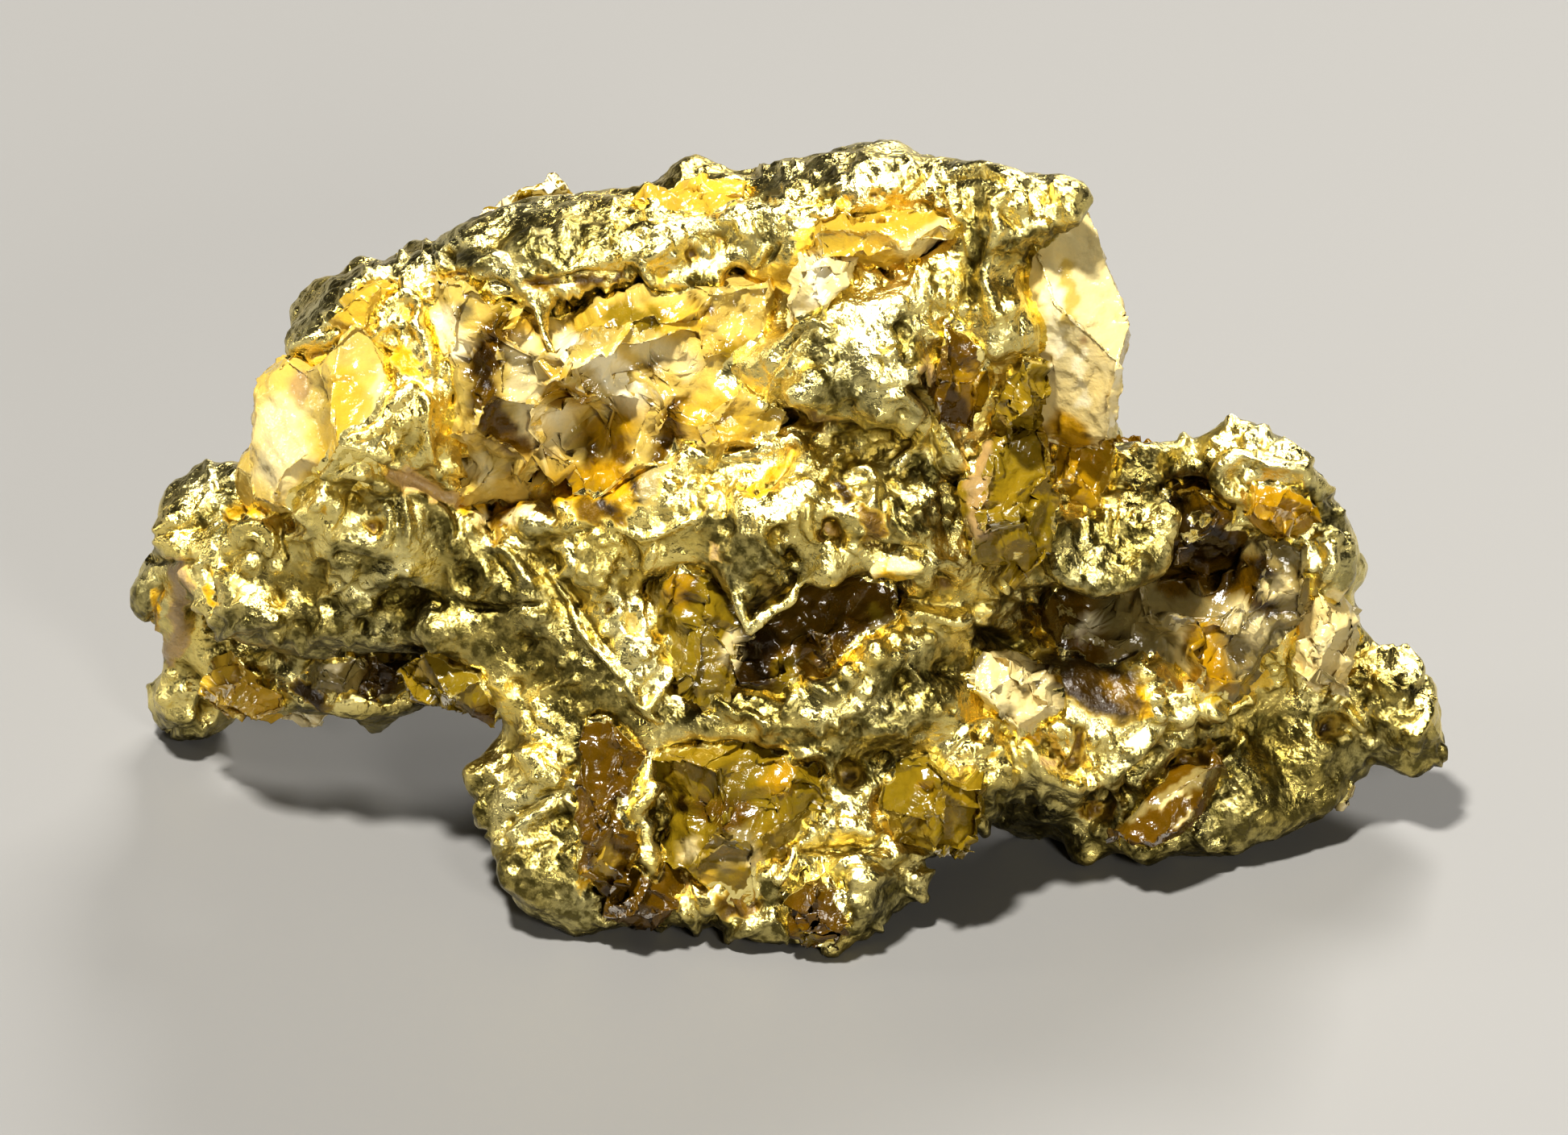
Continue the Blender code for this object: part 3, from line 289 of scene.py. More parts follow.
# The plate is the bare gold between the crown's hollow and its right knob.
PLATE = [
    rib(9, 0.15, 957,492, 963,475, 971,461), rib(9, 0.15, 984,456, 990,441, 998,428),
    rib(8, 0.13, 979,470, 987,481, 993,493), groove(5, 0.12, 1000,405, 985,415, 972,428, 964,442),
    rib(6, 0.1, 985,408, 1003,401, 1020,401, 1033,408), bump(7, 0.09, 1017,413), bump(7, 0.08, 1027,418),
    groove(9, 0.2, 1117,403, 1126,425, 1131,447), rib(7, 0.13, 1100,446, 1111,438, 1120,429),
    dent(9, 0.14, 1090,452), dent(8, 0.1, 1095,430), bump(6, 0.09, 1058,426), bump(8, 0.07, 1080,410),
    rib(7, 0.15, 1105,492, 1118,488, 1127,495, 1128,503),
    rib(11, 0.17, 1116,540, 1123,524, 1131,511, 1138,505, 1143,516, 1142,536, 1138,555, 1125,568, 1114,579),
    groove(8, 0.16, 1130,482, 1145,490, 1152,505, 1158,530, 1160,555, 1165,575, 1176,590, 1196,600),
    rib(10, 0.18, 1165,535, 1172,550, 1180,565, 1190,580, 1199,591), bump(12, 0.16, 1205,560),
    bump(8, 0.11, 1205,586), bump(12, 0.14, 1168,518), bump(13, 0.11, 1142,455), bump(14, 0.14, 1160,415),
    bump(8, 0.08, 1137,475), groove(5, 0.1, 1155,508, 1175,514, 1190,518), dent(8, 0.11, 1118,512),
    rib(8, 0.14, 850,560, 875,566, 905,568, 940,563, 968,556, 986,541),
    groove(12, 0.38, 962,520, 985,517, 1010,522, 1031,526), rib(4, 0.1, 1000,513, 1020,512, 1033,518),
    bump(26, 0.16, 1000,570), groove(10, 0.17, 985,555, 975,575, 955,595, 935,610),
    rib(9, 0.14, 945,560, 953,550, 959,540), bump(8, 0.12, 967,547),
    rib(7, 0.12, 1024,587, 1032,571, 1043,562),
    rib(8, 0.14, 1060,585, 1075,583, 1083,590, 1087,605, 1085,621), dent(9, 0.1, 1060,568),
    rib(9, 0.13, 985,543, 995,550, 1000,562), bump(8, 0.09, 1015,540), dent(8, 0.09, 1037,548),
    bump(9, 0.08, 1075,530), bump(8, 0.08, 1090,515), bump(8, 0.09, 1085,545), bump(9, 0.1, 1105,560),
    dent(12, 0.12, 1050,505), dent(12, 0.08, 1010,450), bump(8, 0.07, 1035,447), dent(10, 0.08, 1070,478),
    bump(7, 0.08, 1060,490), bump(6, 0.07, 1035,497), dent(8, 0.08, 1040,485), bump(9, 0.08, 1095,475),
    bump(8, 0.06, 1020,475), bump(8, 0.07, 1100,495), bump(6, 0.07, 1118,410), bump(8, 0.07, 1045,395),
    rib(14, 0.17, 845,578, 862,570, 880,573), bump(10, 0.1, 835,602), bump(12, 0.12, 861,600),
    bump(10, 0.1, 880,606), bump(10, 0.11, 830,627), bump(12, 0.12, 856,630), bump(9, 0.1, 880,625),
    rib(8, 0.14, 800,668, 825,660, 850,648, 875,640, 890,630), groove(5, 0.1, 898,600, 898,640),
    bump(9, 0.1, 915,612), bump(8, 0.09, 925,590), bump(14, 0.1, 950,615), bump(12, 0.08, 975,608),
    rib(8, 0.12, 868,655, 880,648, 892,642), groove(6, 0.12, 1000,590, 1020,598, 1040,592),
    bump(9, 0.12, 1010,608), bump(8, 0.1, 1002,600), bump(8, 0.09, 1040,600), dent(6, 0.09, 1033,606),
    rib(8, 0.11, 1075,608, 1083,620, 1087,632), rib(7, 0.11, 1110,595, 1118,603), bump(7, 0.08, 1055,610),
    bump(8, 0.08, 1145,600), bump(8, 0.08, 1160,612), bump(6, 0.07, 1135,585), bump(12, 0.13, 1180,625),
    bump(10, 0.12, 1195,635), bump(10, 0.1, 1175,645), bump(10, 0.12, 1190,655), bump(10, 0.14, 1212,660),
    bump(9, 0.09, 1160,628), dent(9, 0.1, 1170,605),
]

CROWN_FLOOR = [
    groove(7, 0.18, 572,625, 590,626, 605,628, 620,627, 640,624, 660,618, 682,610),
    groove(7, 0.2, 612,612, 610,625, 608,645, 612,660, 618,673), bump(18, 0.14, 585,650),
    bump(26, 0.2, 662,648), bump(12, 0.11, 558,602), bump(12, 0.11, 590,600), bump(13, 0.12, 640,601),
    bump(11, 0.1, 620,585), bump(13, 0.1, 586,575), bump(12, 0.1, 655,575), bump(9, 0.09, 668,591),
    groove(4, 0.09, 580,540, 600,550, 620,560, 642,570), groove(4, 0.09, 545,590, 565,594, 585,598, 598,607),
    bump(12, 0.14, 697,628), groove(7, 0.12, 676,612, 682,630, 688,645), bump(10, 0.09, 560,625),
    bump(8, 0.08, 575,610), rib(6, 0.09, 570,672, 580,662, 592,668), groove(4, 0.08, 632,580, 636,595),
    bump(8, 0.1, 605,610), bump(8, 0.08, 630,612), rib(7, 0.1, 640,560, 655,566, 672,572, 690,570),
    groove(6, 0.1, 660,672, 690,668, 715,660, 745,652), rib(5, 0.1, 765,652, 780,660, 800,668),
]

MIDDLE = [
    rib(8, 0.24, 941,648, 943,662, 950,678, 960,692, 972,700, 989,703),
    rib(5, 0.14, 950,650, 962,648, 976,643), dent(15, 0.18, 967,662), bump(6, 0.08, 967,682),
    bump(6, 0.08, 985,690), rib(9, 0.25, 1003,628, 1000,642, 1003,656, 1010,670, 1020,680, 1034,688),
    dent(16, 0.14, 1030,652), bump(7, 0.09, 1018,632), bump(6, 0.07, 1018,655), bump(9, 0.13, 1060,680),
    bump(8, 0.1, 1070,660), bump(9, 0.09, 1055,640), bump(9, 0.1, 1078,630), bump(7, 0.08, 1075,645),
    rib(8, 0.18, 1106,620, 1107,635, 1112,650, 1120,662, 1129,671),
    rib(5, 0.1, 1110,625, 1120,638, 1130,645, 1141,634), bump(8, 0.1, 1150,660), dent(9, 0.12, 1125,630),
    bump(9, 0.1, 1158,640), groove(10, 0.26, 1075,672, 1095,682, 1120,685, 1146,684),
    rib(4, 0.1, 1080,672, 1100,675, 1126,681), rib(11, 0.13, 1084,703, 1110,702, 1141,702),
    dent(17, 0.24, 1172,722), rib(4, 0.08, 1128,733, 1146,733), rib(4, 0.1, 1158,702, 1170,696, 1187,700),
    groove(7, 0.14, 1090,722, 1110,726, 1130,722), bump(7, 0.08, 1160,690), bump(8, 0.13, 975,716),
    bump(6, 0.1, 965,720), rib(6, 0.1, 925,738, 932,733), dent(18, 0.16, 945,720), dent(16, 0.12, 905,655),
    bump(9, 0.13, 905,690), bump(7, 0.1, 895,680), dent(9, 0.08, 930,655),
    rib(9, 0.16, 812,680, 808,690, 803,703), bump(8, 0.12, 778,713),
    groove(7, 0.16, 775,665, 785,680, 792,697), bump(8, 0.1, 735,662), bump(9, 0.11, 751,671),
    bump(8, 0.1, 765,668), bump(9, 0.11, 741,690), bump(8, 0.09, 760,690), bump(8, 0.09, 755,705),
    bump(9, 0.11, 746,722), rib(6, 0.12, 740,700, 735,716), dent(7, 0.09, 771,697), dent(7, 0.1, 760,716),
    dent(7, 0.1, 757,728), bump(9, 0.12, 722,680), bump(7, 0.08, 718,688), bump(8, 0.08, 690,680),
    bump(10, 0.15, 700,712), bump(9, 0.11, 690,703), bump(9, 0.1, 722,708),
    groove(7, 0.12, 705,670, 708,685, 714,697), groove(6, 0.12, 655,683, 672,690, 685,698),
    dent(14, 0.22, 785,772), rib(7, 0.16, 803,750, 806,762, 808,777), rib(6, 0.12, 793,748, 792,762, 797,778),
    dent(11, 0.17, 755,755), bump(12, 0.12, 752,782), bump(9, 0.12, 738,742), bump(8, 0.09, 770,760),
    bump(8, 0.08, 768,742), bump(6, 0.07, 800,745), bump(8, 0.09, 790,795), bump(8, 0.1, 805,795),
    bump(7, 0.08, 785,806), bump(7, 0.08, 780,790), rib(8, 0.18, 780,848, 785,865, 793,878, 805,888, 817,894),
    rib(11, 0.17, 836,808, 831,825, 826,840, 820,855, 812,868, 804,881),
    groove(5, 0.16, 853,825, 846,840, 838,857), bump(9, 0.1, 795,836), bump(9, 0.1, 800,815),
    bump(9, 0.1, 816,802), dent(7, 0.08, 803,825), bump(9, 0.1, 840,790), bump(9, 0.1, 858,835),
    bump(8, 0.08, 790,858), bump(7, 0.07, 845,850), bump(8, 0.1, 676,765), bump(8, 0.1, 682,785),
    bump(9, 0.1, 664,830), bump(8, 0.09, 770,858), bump(8, 0.08, 697,822),
    rib(10, 0.19, 870,860, 885,870, 900,880, 916,890), rib(9, 0.14, 925,885, 940,893, 952,902),
    bump(11, 0.14, 958,899), bump(8, 0.1, 950,910), rib(11, 0.15, 975,888, 985,876, 995,862),
    rib(11, 0.16, 1000,850, 1015,856, 1031,862), bump(13, 0.17, 1052,838), bump(9, 0.13, 1056,826),
    bump(20, 0.24, 1087,812), bump(10, 0.1, 1098,800), bump(9, 0.12, 1080,858), bump(8, 0.12, 1070,880),
    dent(8, 0.12, 1075,840), dent(10, 0.14, 1058,862), bump(9, 0.12, 1112,790), bump(10, 0.14, 1128,770),
    rib(18, 0.2, 1130,757, 1150,764, 1177,772), bump(12, 0.14, 1150,790), bump(16, 0.18, 1225,735),
    bump(12, 0.15, 1246,726), bump(20, 0.2, 1195,766), bump(11, 0.13, 1222,757), bump(12, 0.12, 1208,785),
    groove(14, 0.18, 1215,787, 1240,792, 1262,802), bump(11, 0.13, 1268,766), bump(9, 0.12, 1262,737),
    bump(9, 0.11, 1280,741), bump(9, 0.1, 1275,782), groove(5, 0.1, 1211,750, 1215,768),
    rib(4, 0.1, 1128,828, 1138,838, 1145,850), dent(16, 0.14, 1120,845), dent(18, 0.14, 1170,830),
    bump(10, 0.12, 1155,865), bump(9, 0.1, 1165,880), bump(8, 0.09, 1145,880), dent(7, 0.09, 1180,880),
    bump(8, 0.08, 1100,880), bump(7, 0.07, 1125,880), bump(8, 0.09, 1105,905),
    rib(6, 0.1, 1120,905, 1130,915, 1142,918), bump(12, 0.14, 1015,905), bump(11, 0.13, 1035,893),
    bump(8, 0.09, 1045,905), bump(9, 0.1, 1020,890), bump(8, 0.09, 1000,890), bump(9, 0.08, 1080,895),
    dent(8, 0.09, 1065,905), dent(10, 0.1, 1130,862),
]

FRONT = [
    bump(22, 0.16, 655,938), rib(16, 0.19, 640,1037, 655,1022, 672,1008, 685,997),
    groove(5, 0.12, 630,1020, 645,1006, 665,998, 681,986), groove(4, 0.1, 675,935, 690,950, 706,959),
    bump(8, 0.11, 677,932), bump(10, 0.15, 714,976), rib(6, 0.13, 600,995, 602,1010, 605,1024),
    bump(8, 0.1, 607,954), bump(7, 0.09, 619,966), bump(7, 0.09, 628,937), bump(8, 0.1, 605,1037),
    bump(8, 0.1, 620,1046), bump(6, 0.07, 594,961), rib(5, 0.09, 625,980, 636,992), dent(9, 0.1, 610,972),
    bump(9, 0.11, 665,872), bump(8, 0.09, 655,887), bump(8, 0.1, 673,891), bump(8, 0.1, 650,906),
    bump(10, 0.12, 666,913), groove(6, 0.12, 654,880, 662,895), rib(6, 0.1, 668,1056, 686,1048),
    bump(8, 0.08, 640,1012), bump(12, 0.1, 665,965), bump(10, 0.1, 690,970),
    groove(4, 0.08, 640,985, 655,972, 675,970), dent(14, 0.15, 700,1015), dent(9, 0.12, 700,940),
    bump(9, 0.08, 645,1060), bump(7, 0.07, 620,1062), dent(10, 0.1, 640,1075), bump(6, 0.06, 587,1035),
    rib(7, 0.14, 733,930, 736,945, 740,960, 742,975, 744,991), bump(9, 0.15, 733,957),
    dent(12, 0.17, 715,955), dent(10, 0.14, 725,992), rib(7, 0.12, 704,990, 712,1000, 720,1009),
    rib(10, 0.12, 715,1025, 719,1040, 712,1055), rib(8, 0.14, 703,1060, 712,1072, 718,1086),
    bump(7, 0.12, 738,1016), bump(6, 0.1, 745,1030), rib(5, 0.1, 733,1042, 741,1035),
    rib(9, 0.17, 750,1090, 762,1082, 770,1070, 776,1058), bump(10, 0.12, 755,1065), dent(11, 0.14, 745,1102),
    rib(4, 0.08, 732,1108, 746,1113, 761,1105), rib(8, 0.16, 600,1085, 602,1100, 603,1114),
    rib(8, 0.13, 742,1138, 755,1141, 766,1138), rib(9, 0.24, 788,1015, 796,1000, 803,989, 807,978),
    rib(6, 0.18, 811,977, 821,985, 828,998, 833,1012), dent(11, 0.17, 814,1010), dent(12, 0.18, 819,1037),
    bump(7, 0.11, 834,1021), rib(12, 0.17, 775,1045, 785,1056, 796,1062, 806,1065),
    rib(8, 0.15, 808,1075, 815,1090, 822,1105, 828,1119),
    rib(6, 0.15, 838,1040, 845,1060, 852,1080, 858,1095, 865,1107), dent(14, 0.12, 840,1098),
    rib(10, 0.24, 818,1150, 828,1135, 838,1124, 844,1117),
    rib(8, 0.24, 850,1120, 856,1132, 862,1145, 870,1158, 881,1169),
    rib(7, 0.2, 893,1163, 905,1156, 920,1151, 935,1150, 950,1143, 961,1137), bump(10, 0.15, 958,1134),
    rib(6, 0.14, 965,1145, 972,1155, 976,1163), rib(16, 0.2, 877,1123, 890,1111, 901,1104),
    rib(12, 0.18, 911,1091, 920,1085, 931,1083), bump(14, 0.19, 942,1085), bump(8, 0.12, 916,1106),
    bump(9, 0.12, 868,1112), dent(14, 0.16, 905,1130), dent(18, 0.16, 935,1120), dent(12, 0.14, 885,1140),
    dent(12, 0.1, 915,1140), bump(17, 0.16, 858,1058), rib(9, 0.17, 985,1055, 980,1068, 972,1082, 965,1091),
    bump(10, 0.14, 955,1050), dent(11, 0.16, 970,1062), bump(17, 0.2, 975,1030), bump(9, 0.12, 986,1012),
    bump(8, 0.1, 966,1003), bump(8, 0.1, 962,988), rib(6, 0.17, 985,933, 1000,930, 1015,928, 1026,936),
    rib(8, 0.17, 990,953, 988,968, 988,981), rib(6, 0.15, 1028,944, 1032,960, 1027,974),
    bump(8, 0.14, 1016,984), dent(13, 0.2, 1010,955), groove(6, 0.18, 985,990, 1000,997, 1016,1001),
    dent(26, 0.4, 1056,962), dent(11, 0.24, 1100,942), rib(5, 0.13, 1078,950, 1080,965, 1086,977),
    rib(9, 0.14, 1098,964, 1110,971, 1119,987), rib(18, 0.18, 1040,1027, 1060,1025, 1076,1031),
    groove(5, 0.16, 1032,1003, 1033,1025, 1029,1046), bump(12, 0.14, 1010,1031), bump(9, 0.12, 1021,1010),
    bump(7, 0.08, 1000,1012), groove(9, 0.16, 1000,1052, 1030,1055, 1060,1055),
    rib(20, 0.26, 1040,1076, 1065,1075, 1090,1066, 1110,1055), rib(13, 0.18, 1060,1096, 1080,1093, 1100,1085),
    bump(11, 0.2, 1124,1023), bump(9, 0.16, 1148,1028), groove(8, 0.17, 1120,1045, 1135,1046, 1146,1035),
    rib(6, 0.12, 1094,1012, 1104,1005, 1112,997), bump(7, 0.1, 1092,1028), bump(8, 0.1, 1100,1040),
    dent(8, 0.12, 1095,990), rib(7, 0.13, 1138,1062, 1150,1052),
    rib(5, 0.12, 1150,1046, 1170,1051, 1191,1049), rib(12, 0.2, 1215,1018, 1224,1035, 1229,1051),
    bump(9, 0.11, 1205,1035), rib(6, 0.13, 1195,985, 1203,998, 1208,1008),
    rib(6, 0.12, 1130,1090, 1150,1084, 1172,1086), rib(7, 0.15, 1125,1104, 1140,1111, 1157,1115),
    rib(10, 0.2, 1018,1186, 1030,1176, 1038,1162, 1043,1150), bump(12, 0.14, 1036,1178),
    rib(7, 0.14, 1045,1117, 1048,1135, 1046,1150), rib(6, 0.12, 1028,1141, 1040,1131),
    bump(9, 0.12, 1066,1131), bump(8, 0.1, 1060,1118), bump(8, 0.1, 1077,1126),
    rib(6, 0.14, 1008,1078, 1017,1092, 1015,1105, 1021,1113), dent(11, 0.14, 1000,1086),
    dent(10, 0.14, 1042,1098), rib(6, 0.13, 985,1105, 990,1120, 993,1128),
    rib(4, 0.09, 1085,1148, 1098,1152, 1106,1162), rib(6, 0.1, 775,1163, 785,1168, 795,1163),
    bump(7, 0.06, 1180,1000), dent(9, 0.08, 1200,1015), rib(5, 0.1, 1128,948, 1135,965, 1143,985),
]

RIGHT = [
    bump(13, 0.2, 1376,590), bump(8, 0.14, 1376,540), rib(6, 0.12, 1340,503, 1346,521),
    bump(8, 0.1, 1360,610), rib(9, 0.18, 1291,631, 1284,645, 1280,660), bump(9, 0.14, 1307,663),
    rib(6, 0.12, 1297,666, 1303,651, 1310,640), groove(6, 0.16, 1299,618, 1307,632, 1316,643),
    rib(4, 0.1, 1348,645, 1348,660, 1353,676), rib(4, 0.13, 1373,640, 1375,655, 1372,672, 1369,686),
    rib(4, 0.12, 1393,620, 1393,640, 1388,660, 1384,676), groove(4, 0.08, 1383,640, 1381,662),
    rib(4, 0.08, 1325,650, 1328,668, 1332,682), bump(8, 0.08, 1408,640),
    rib(20, 0.22, 1310,700, 1340,712, 1370,718, 1400,715, 1416,700), bump(8, 0.13, 1423,653),
    bump(6, 0.08, 1410,655), bump(9, 0.1, 1400,575), bump(8, 0.09, 1412,560), bump(9, 0.08, 1430,580),
    bump(9, 0.08, 1440,595), dent(8, 0.12, 1395,605), rib(6, 0.1, 1365,625, 1378,622, 1392,614, 1402,616),
    rib(6, 0.12, 1365,575, 1375,568, 1388,568), bump(12, 0.12, 1470,548), bump(9, 0.09, 1510,548),
    bump(10, 0.1, 1485,578), bump(9, 0.1, 1502,566), bump(9, 0.07, 1450,560),
    rib(13, 0.24, 1532,569, 1520,580, 1523,598, 1531,611, 1541,615),
    rib(9, 0.2, 1540,565, 1560,572, 1580,575, 1600,580, 1615,585, 1622,600), bump(9, 0.17, 1548,592),
    dent(9, 0.2, 1535,590), groove(5, 0.13, 1545,571, 1562,577), rib(8, 0.16, 1545,548, 1558,540, 1571,545),
    dent(8, 0.2, 1567,553), bump(7, 0.11, 1578,557), rib(10, 0.14, 1590,555, 1605,565, 1621,576),
    bump(9, 0.1, 1528,521), bump(6, 0.08, 1525,531), dent(10, 0.1, 1540,535),
    groove(8, 0.14, 1440,605, 1462,600, 1490,599, 1510,610), dent(22, 0.3, 1590,628),
    dent(16, 0.16, 1620,630), rib(6, 0.12, 1545,625, 1553,638, 1561,650),
    rib(6, 0.2, 1563,652, 1580,655, 1595,660, 1608,668, 1616,680, 1621,692, 1631,703),
    rib(7, 0.16, 1640,668, 1650,660, 1659,669), rib(10, 0.2, 1648,680, 1653,692, 1648,705, 1641,720),
    dent(8, 0.15, 1635,686), bump(7, 0.09, 1672,665), bump(7, 0.09, 1675,676), bump(6, 0.08, 1640,648),
    bump(8, 0.09, 1660,638), rib(10, 0.17, 1604,736, 1612,725, 1619,714), bump(6, 0.11, 1616,697),
    bump(6, 0.11, 1617,708), dent(9, 0.18, 1607,687), dent(10, 0.1, 1650,620), bump(9, 0.08, 1655,605),
    dent(9, 0.1, 1595,745), bump(9, 0.12, 1585,672), dent(9, 0.13, 1578,690),
    rib(4, 0.08, 1638,798, 1655,803, 1667,811), rib(6, 0.14, 1627,856, 1645,850, 1655,840, 1664,824),
    rib(8, 0.17, 1652,869, 1662,858, 1668,847), groove(9, 0.2, 1604,768, 1618,753, 1636,747),
    groove(7, 0.14, 1600,815, 1603,838, 1606,858), rib(5, 0.1, 1673,770, 1680,780, 1686,790),
    bump(7, 0.09, 1662,797), rib(11, 0.19, 1695,815, 1710,818, 1726,820),
    rib(10, 0.19, 1737,818, 1748,828, 1758,843), rib(7, 0.16, 1708,841, 1718,850, 1728,855),
    bump(6, 0.1, 1733,861), rib(9, 0.19, 1765,870, 1769,885, 1765,900, 1756,911),
    rib(6, 0.12, 1711,885, 1721,891), rib(7, 0.15, 1747,891, 1758,883),
    rib(9, 0.2, 1671,879, 1680,890, 1691,901), rib(6, 0.16, 1689,916, 1699,922, 1709,920),
    rib(5, 0.12, 1774,900, 1778,915, 1774,930, 1782,945, 1791,951), rib(5, 0.1, 1785,925, 1790,944),
    dent(8, 0.13, 1690,868), dent(7, 0.12, 1711,865), dent(8, 0.13, 1741,846), dent(7, 0.12, 1741,897),
    dent(7, 0.1, 1700,897), dent(7, 0.1, 1727,876), dent(8, 0.1, 1686,846), bump(9, 0.1, 1683,837),
    bump(6, 0.08, 1683,820), bump(8, 0.1, 1727,897), groove(4, 0.09, 1730,813, 1729,832),
    bump(6, 0.08, 1700,875), bump(6, 0.08, 1712,900), bump(7, 0.08, 1745,872), dent(24, 0.3, 1650,902),
    bump(9, 0.12, 1671,916), bump(6, 0.05, 1780,868), dent(12, 0.1, 1700,945), dent(14, 0.1, 1745,940),
    bump(7, 0.09, 1572,820), bump(7, 0.09, 1582,831), bump(7, 0.09, 1586,846), bump(6, 0.08, 1591,820),
    bump(7, 0.09, 1575,851), bump(10, 0.14, 1556,831), bump(10, 0.14, 1552,868),
    rib(16, 0.18, 1343,770, 1354,779, 1362,790), dent(9, 0.17, 1369,791), bump(8, 0.12, 1420,785),
    rib(6, 0.12, 1397,798, 1409,804), rib(9, 0.14, 1447,730, 1444,745, 1456,755, 1465,762),
    rib(9, 0.14, 1445,767, 1455,780, 1462,796), bump(9, 0.13, 1510,751),
    rib(8, 0.13, 1535,725, 1543,738, 1541,751), rib(11, 0.14, 1530,765, 1545,757, 1555,770, 1565,791),
    dent(10, 0.15, 1527,781), bump(8, 0.14, 1533,806), bump(6, 0.12, 1517,811), dent(15, 0.2, 1430,816),
    bump(8, 0.13, 1430,836), bump(7, 0.1, 1442,846), rib(9, 0.2, 1508,886, 1525,880, 1540,870, 1551,861),
    bump(9, 0.17, 1502,882), bump(11, 0.18, 1440,865), bump(12, 0.2, 1440,888), bump(9, 0.14, 1461,866),
    bump(11, 0.16, 1473,868), bump(8, 0.12, 1425,869), bump(7, 0.12, 1410,862), bump(8, 0.1, 1415,892),
    groove(6, 0.14, 1420,850, 1424,872, 1420,893), bump(7, 0.1, 1485,880), dent(7, 0.1, 1462,883),
    dent(9, 0.14, 1490,895), groove(6, 0.12, 1488,868, 1492,885),
    rib(6, 0.16, 1222,850, 1228,862, 1235,875, 1243,887, 1256,891),
    rib(9, 0.17, 1291,905, 1303,911, 1316,900),
    rib(6, 0.17, 1174,931, 1185,920, 1193,910, 1203,900, 1218,897, 1233,905), bump(9, 0.16, 1170,935),
    bump(8, 0.11, 1178,945), bump(9, 0.16, 1192,953), bump(8, 0.1, 1200,931), bump(8, 0.1, 1216,926),
    bump(9, 0.12, 1240,930), bump(8, 0.16, 1258,918), bump(7, 0.11, 1251,950), bump(8, 0.1, 1172,952),
    dent(12, 0.16, 1213,911), dent(6, 0.1, 1228,941), dent(10, 0.1, 1228,958),
    rib(13, 0.27, 1269,929, 1277,945, 1290,955, 1305,960, 1320,967, 1337,971), bump(8, 0.12, 1317,913),
    dent(8, 0.12, 1262,950), rib(7, 0.2, 1327,903, 1333,920, 1335,932, 1330,941, 1321,935),
    groove(9, 0.36, 1311,937, 1322,953, 1336,951, 1343,930, 1341,907), dent(9, 0.25, 1300,922),
    bump(12, 0.16, 1355,918), bump(8, 0.12, 1372,914), bump(12, 0.16, 1355,946), bump(8, 0.12, 1379,926),
    bump(12, 0.16, 1357,971), bump(8, 0.1, 1372,956), rib(15, 0.22, 1400,932, 1412,925, 1426,914),
    rib(6, 0.2, 1384,962, 1395,950, 1405,942, 1419,931), dent(26, 0.34, 1366,1000), dent(14, 0.24, 1400,986),
    rib(4, 0.17, 1415,975, 1413,990, 1405,1003, 1400,1016),
    rib(4, 0.17, 1382,1007, 1392,1015, 1398,1025, 1402,1041), bump(9, 0.14, 1332,1030),
    bump(8, 0.1, 1345,1041), bump(9, 0.17, 1360,1030), bump(7, 0.13, 1386,1028), bump(10, 0.14, 1291,985),
    bump(8, 0.11, 1301,996), bump(7, 0.1, 1313,1000), bump(9, 0.12, 1222,978),
    rib(4, 0.1, 1268,984, 1263,1000, 1262,1012, 1250,1018, 1242,1013), dent(13, 0.17, 1245,991),
    dent(10, 0.12, 1281,1006),
    rib(7, 0.24, 1540,911, 1536,930, 1525,945, 1510,950, 1495,956, 1480,965, 1468,975, 1455,985, 1445,992,
        1431,998), bump(6, 0.08, 1535,932), bump(6, 0.08, 1525,942), bump(6, 0.07, 1505,948),
    bump(6, 0.07, 1485,962), groove(9, 0.2, 1456,903, 1452,918, 1470,915, 1491,904),
    rib(4, 0.09, 1490,904, 1480,918, 1469,926), groove(12, 0.16, 1520,925, 1495,935, 1470,945, 1455,960),
    groove(10, 0.14, 1440,935, 1420,950, 1405,965), bump(9, 0.12, 1441,968),
    rib(8, 0.12, 1429,981, 1445,985, 1457,977), bump(6, 0.09, 1470,972),
    groove(9, 0.24, 1425,1016, 1440,1006, 1460,996, 1482,984), rib(8, 0.13, 1484,1034, 1500,1045, 1521,1042),
    rib(3, 0.1, 1529,1026, 1545,1015, 1560,1005, 1577,991), rib(6, 0.13, 1402,1030, 1406,1049),
    bump(6, 0.1, 1463,986), bump(6, 0.09, 1422,1028), bump(7, 0.1, 1440,1050), bump(6, 0.09, 1460,1049),
    dent(9, 0.12, 1432,1030), bump(6, 0.08, 1290,1033), bump(6, 0.1, 1305,1042),
]

STROKES = LEFT_LOBE + CROWN_LEFT + CROWN_TOP + CROWN_RIGHT + PLATE + CROWN_FLOOR + MIDDLE + FRONT + RIGHT

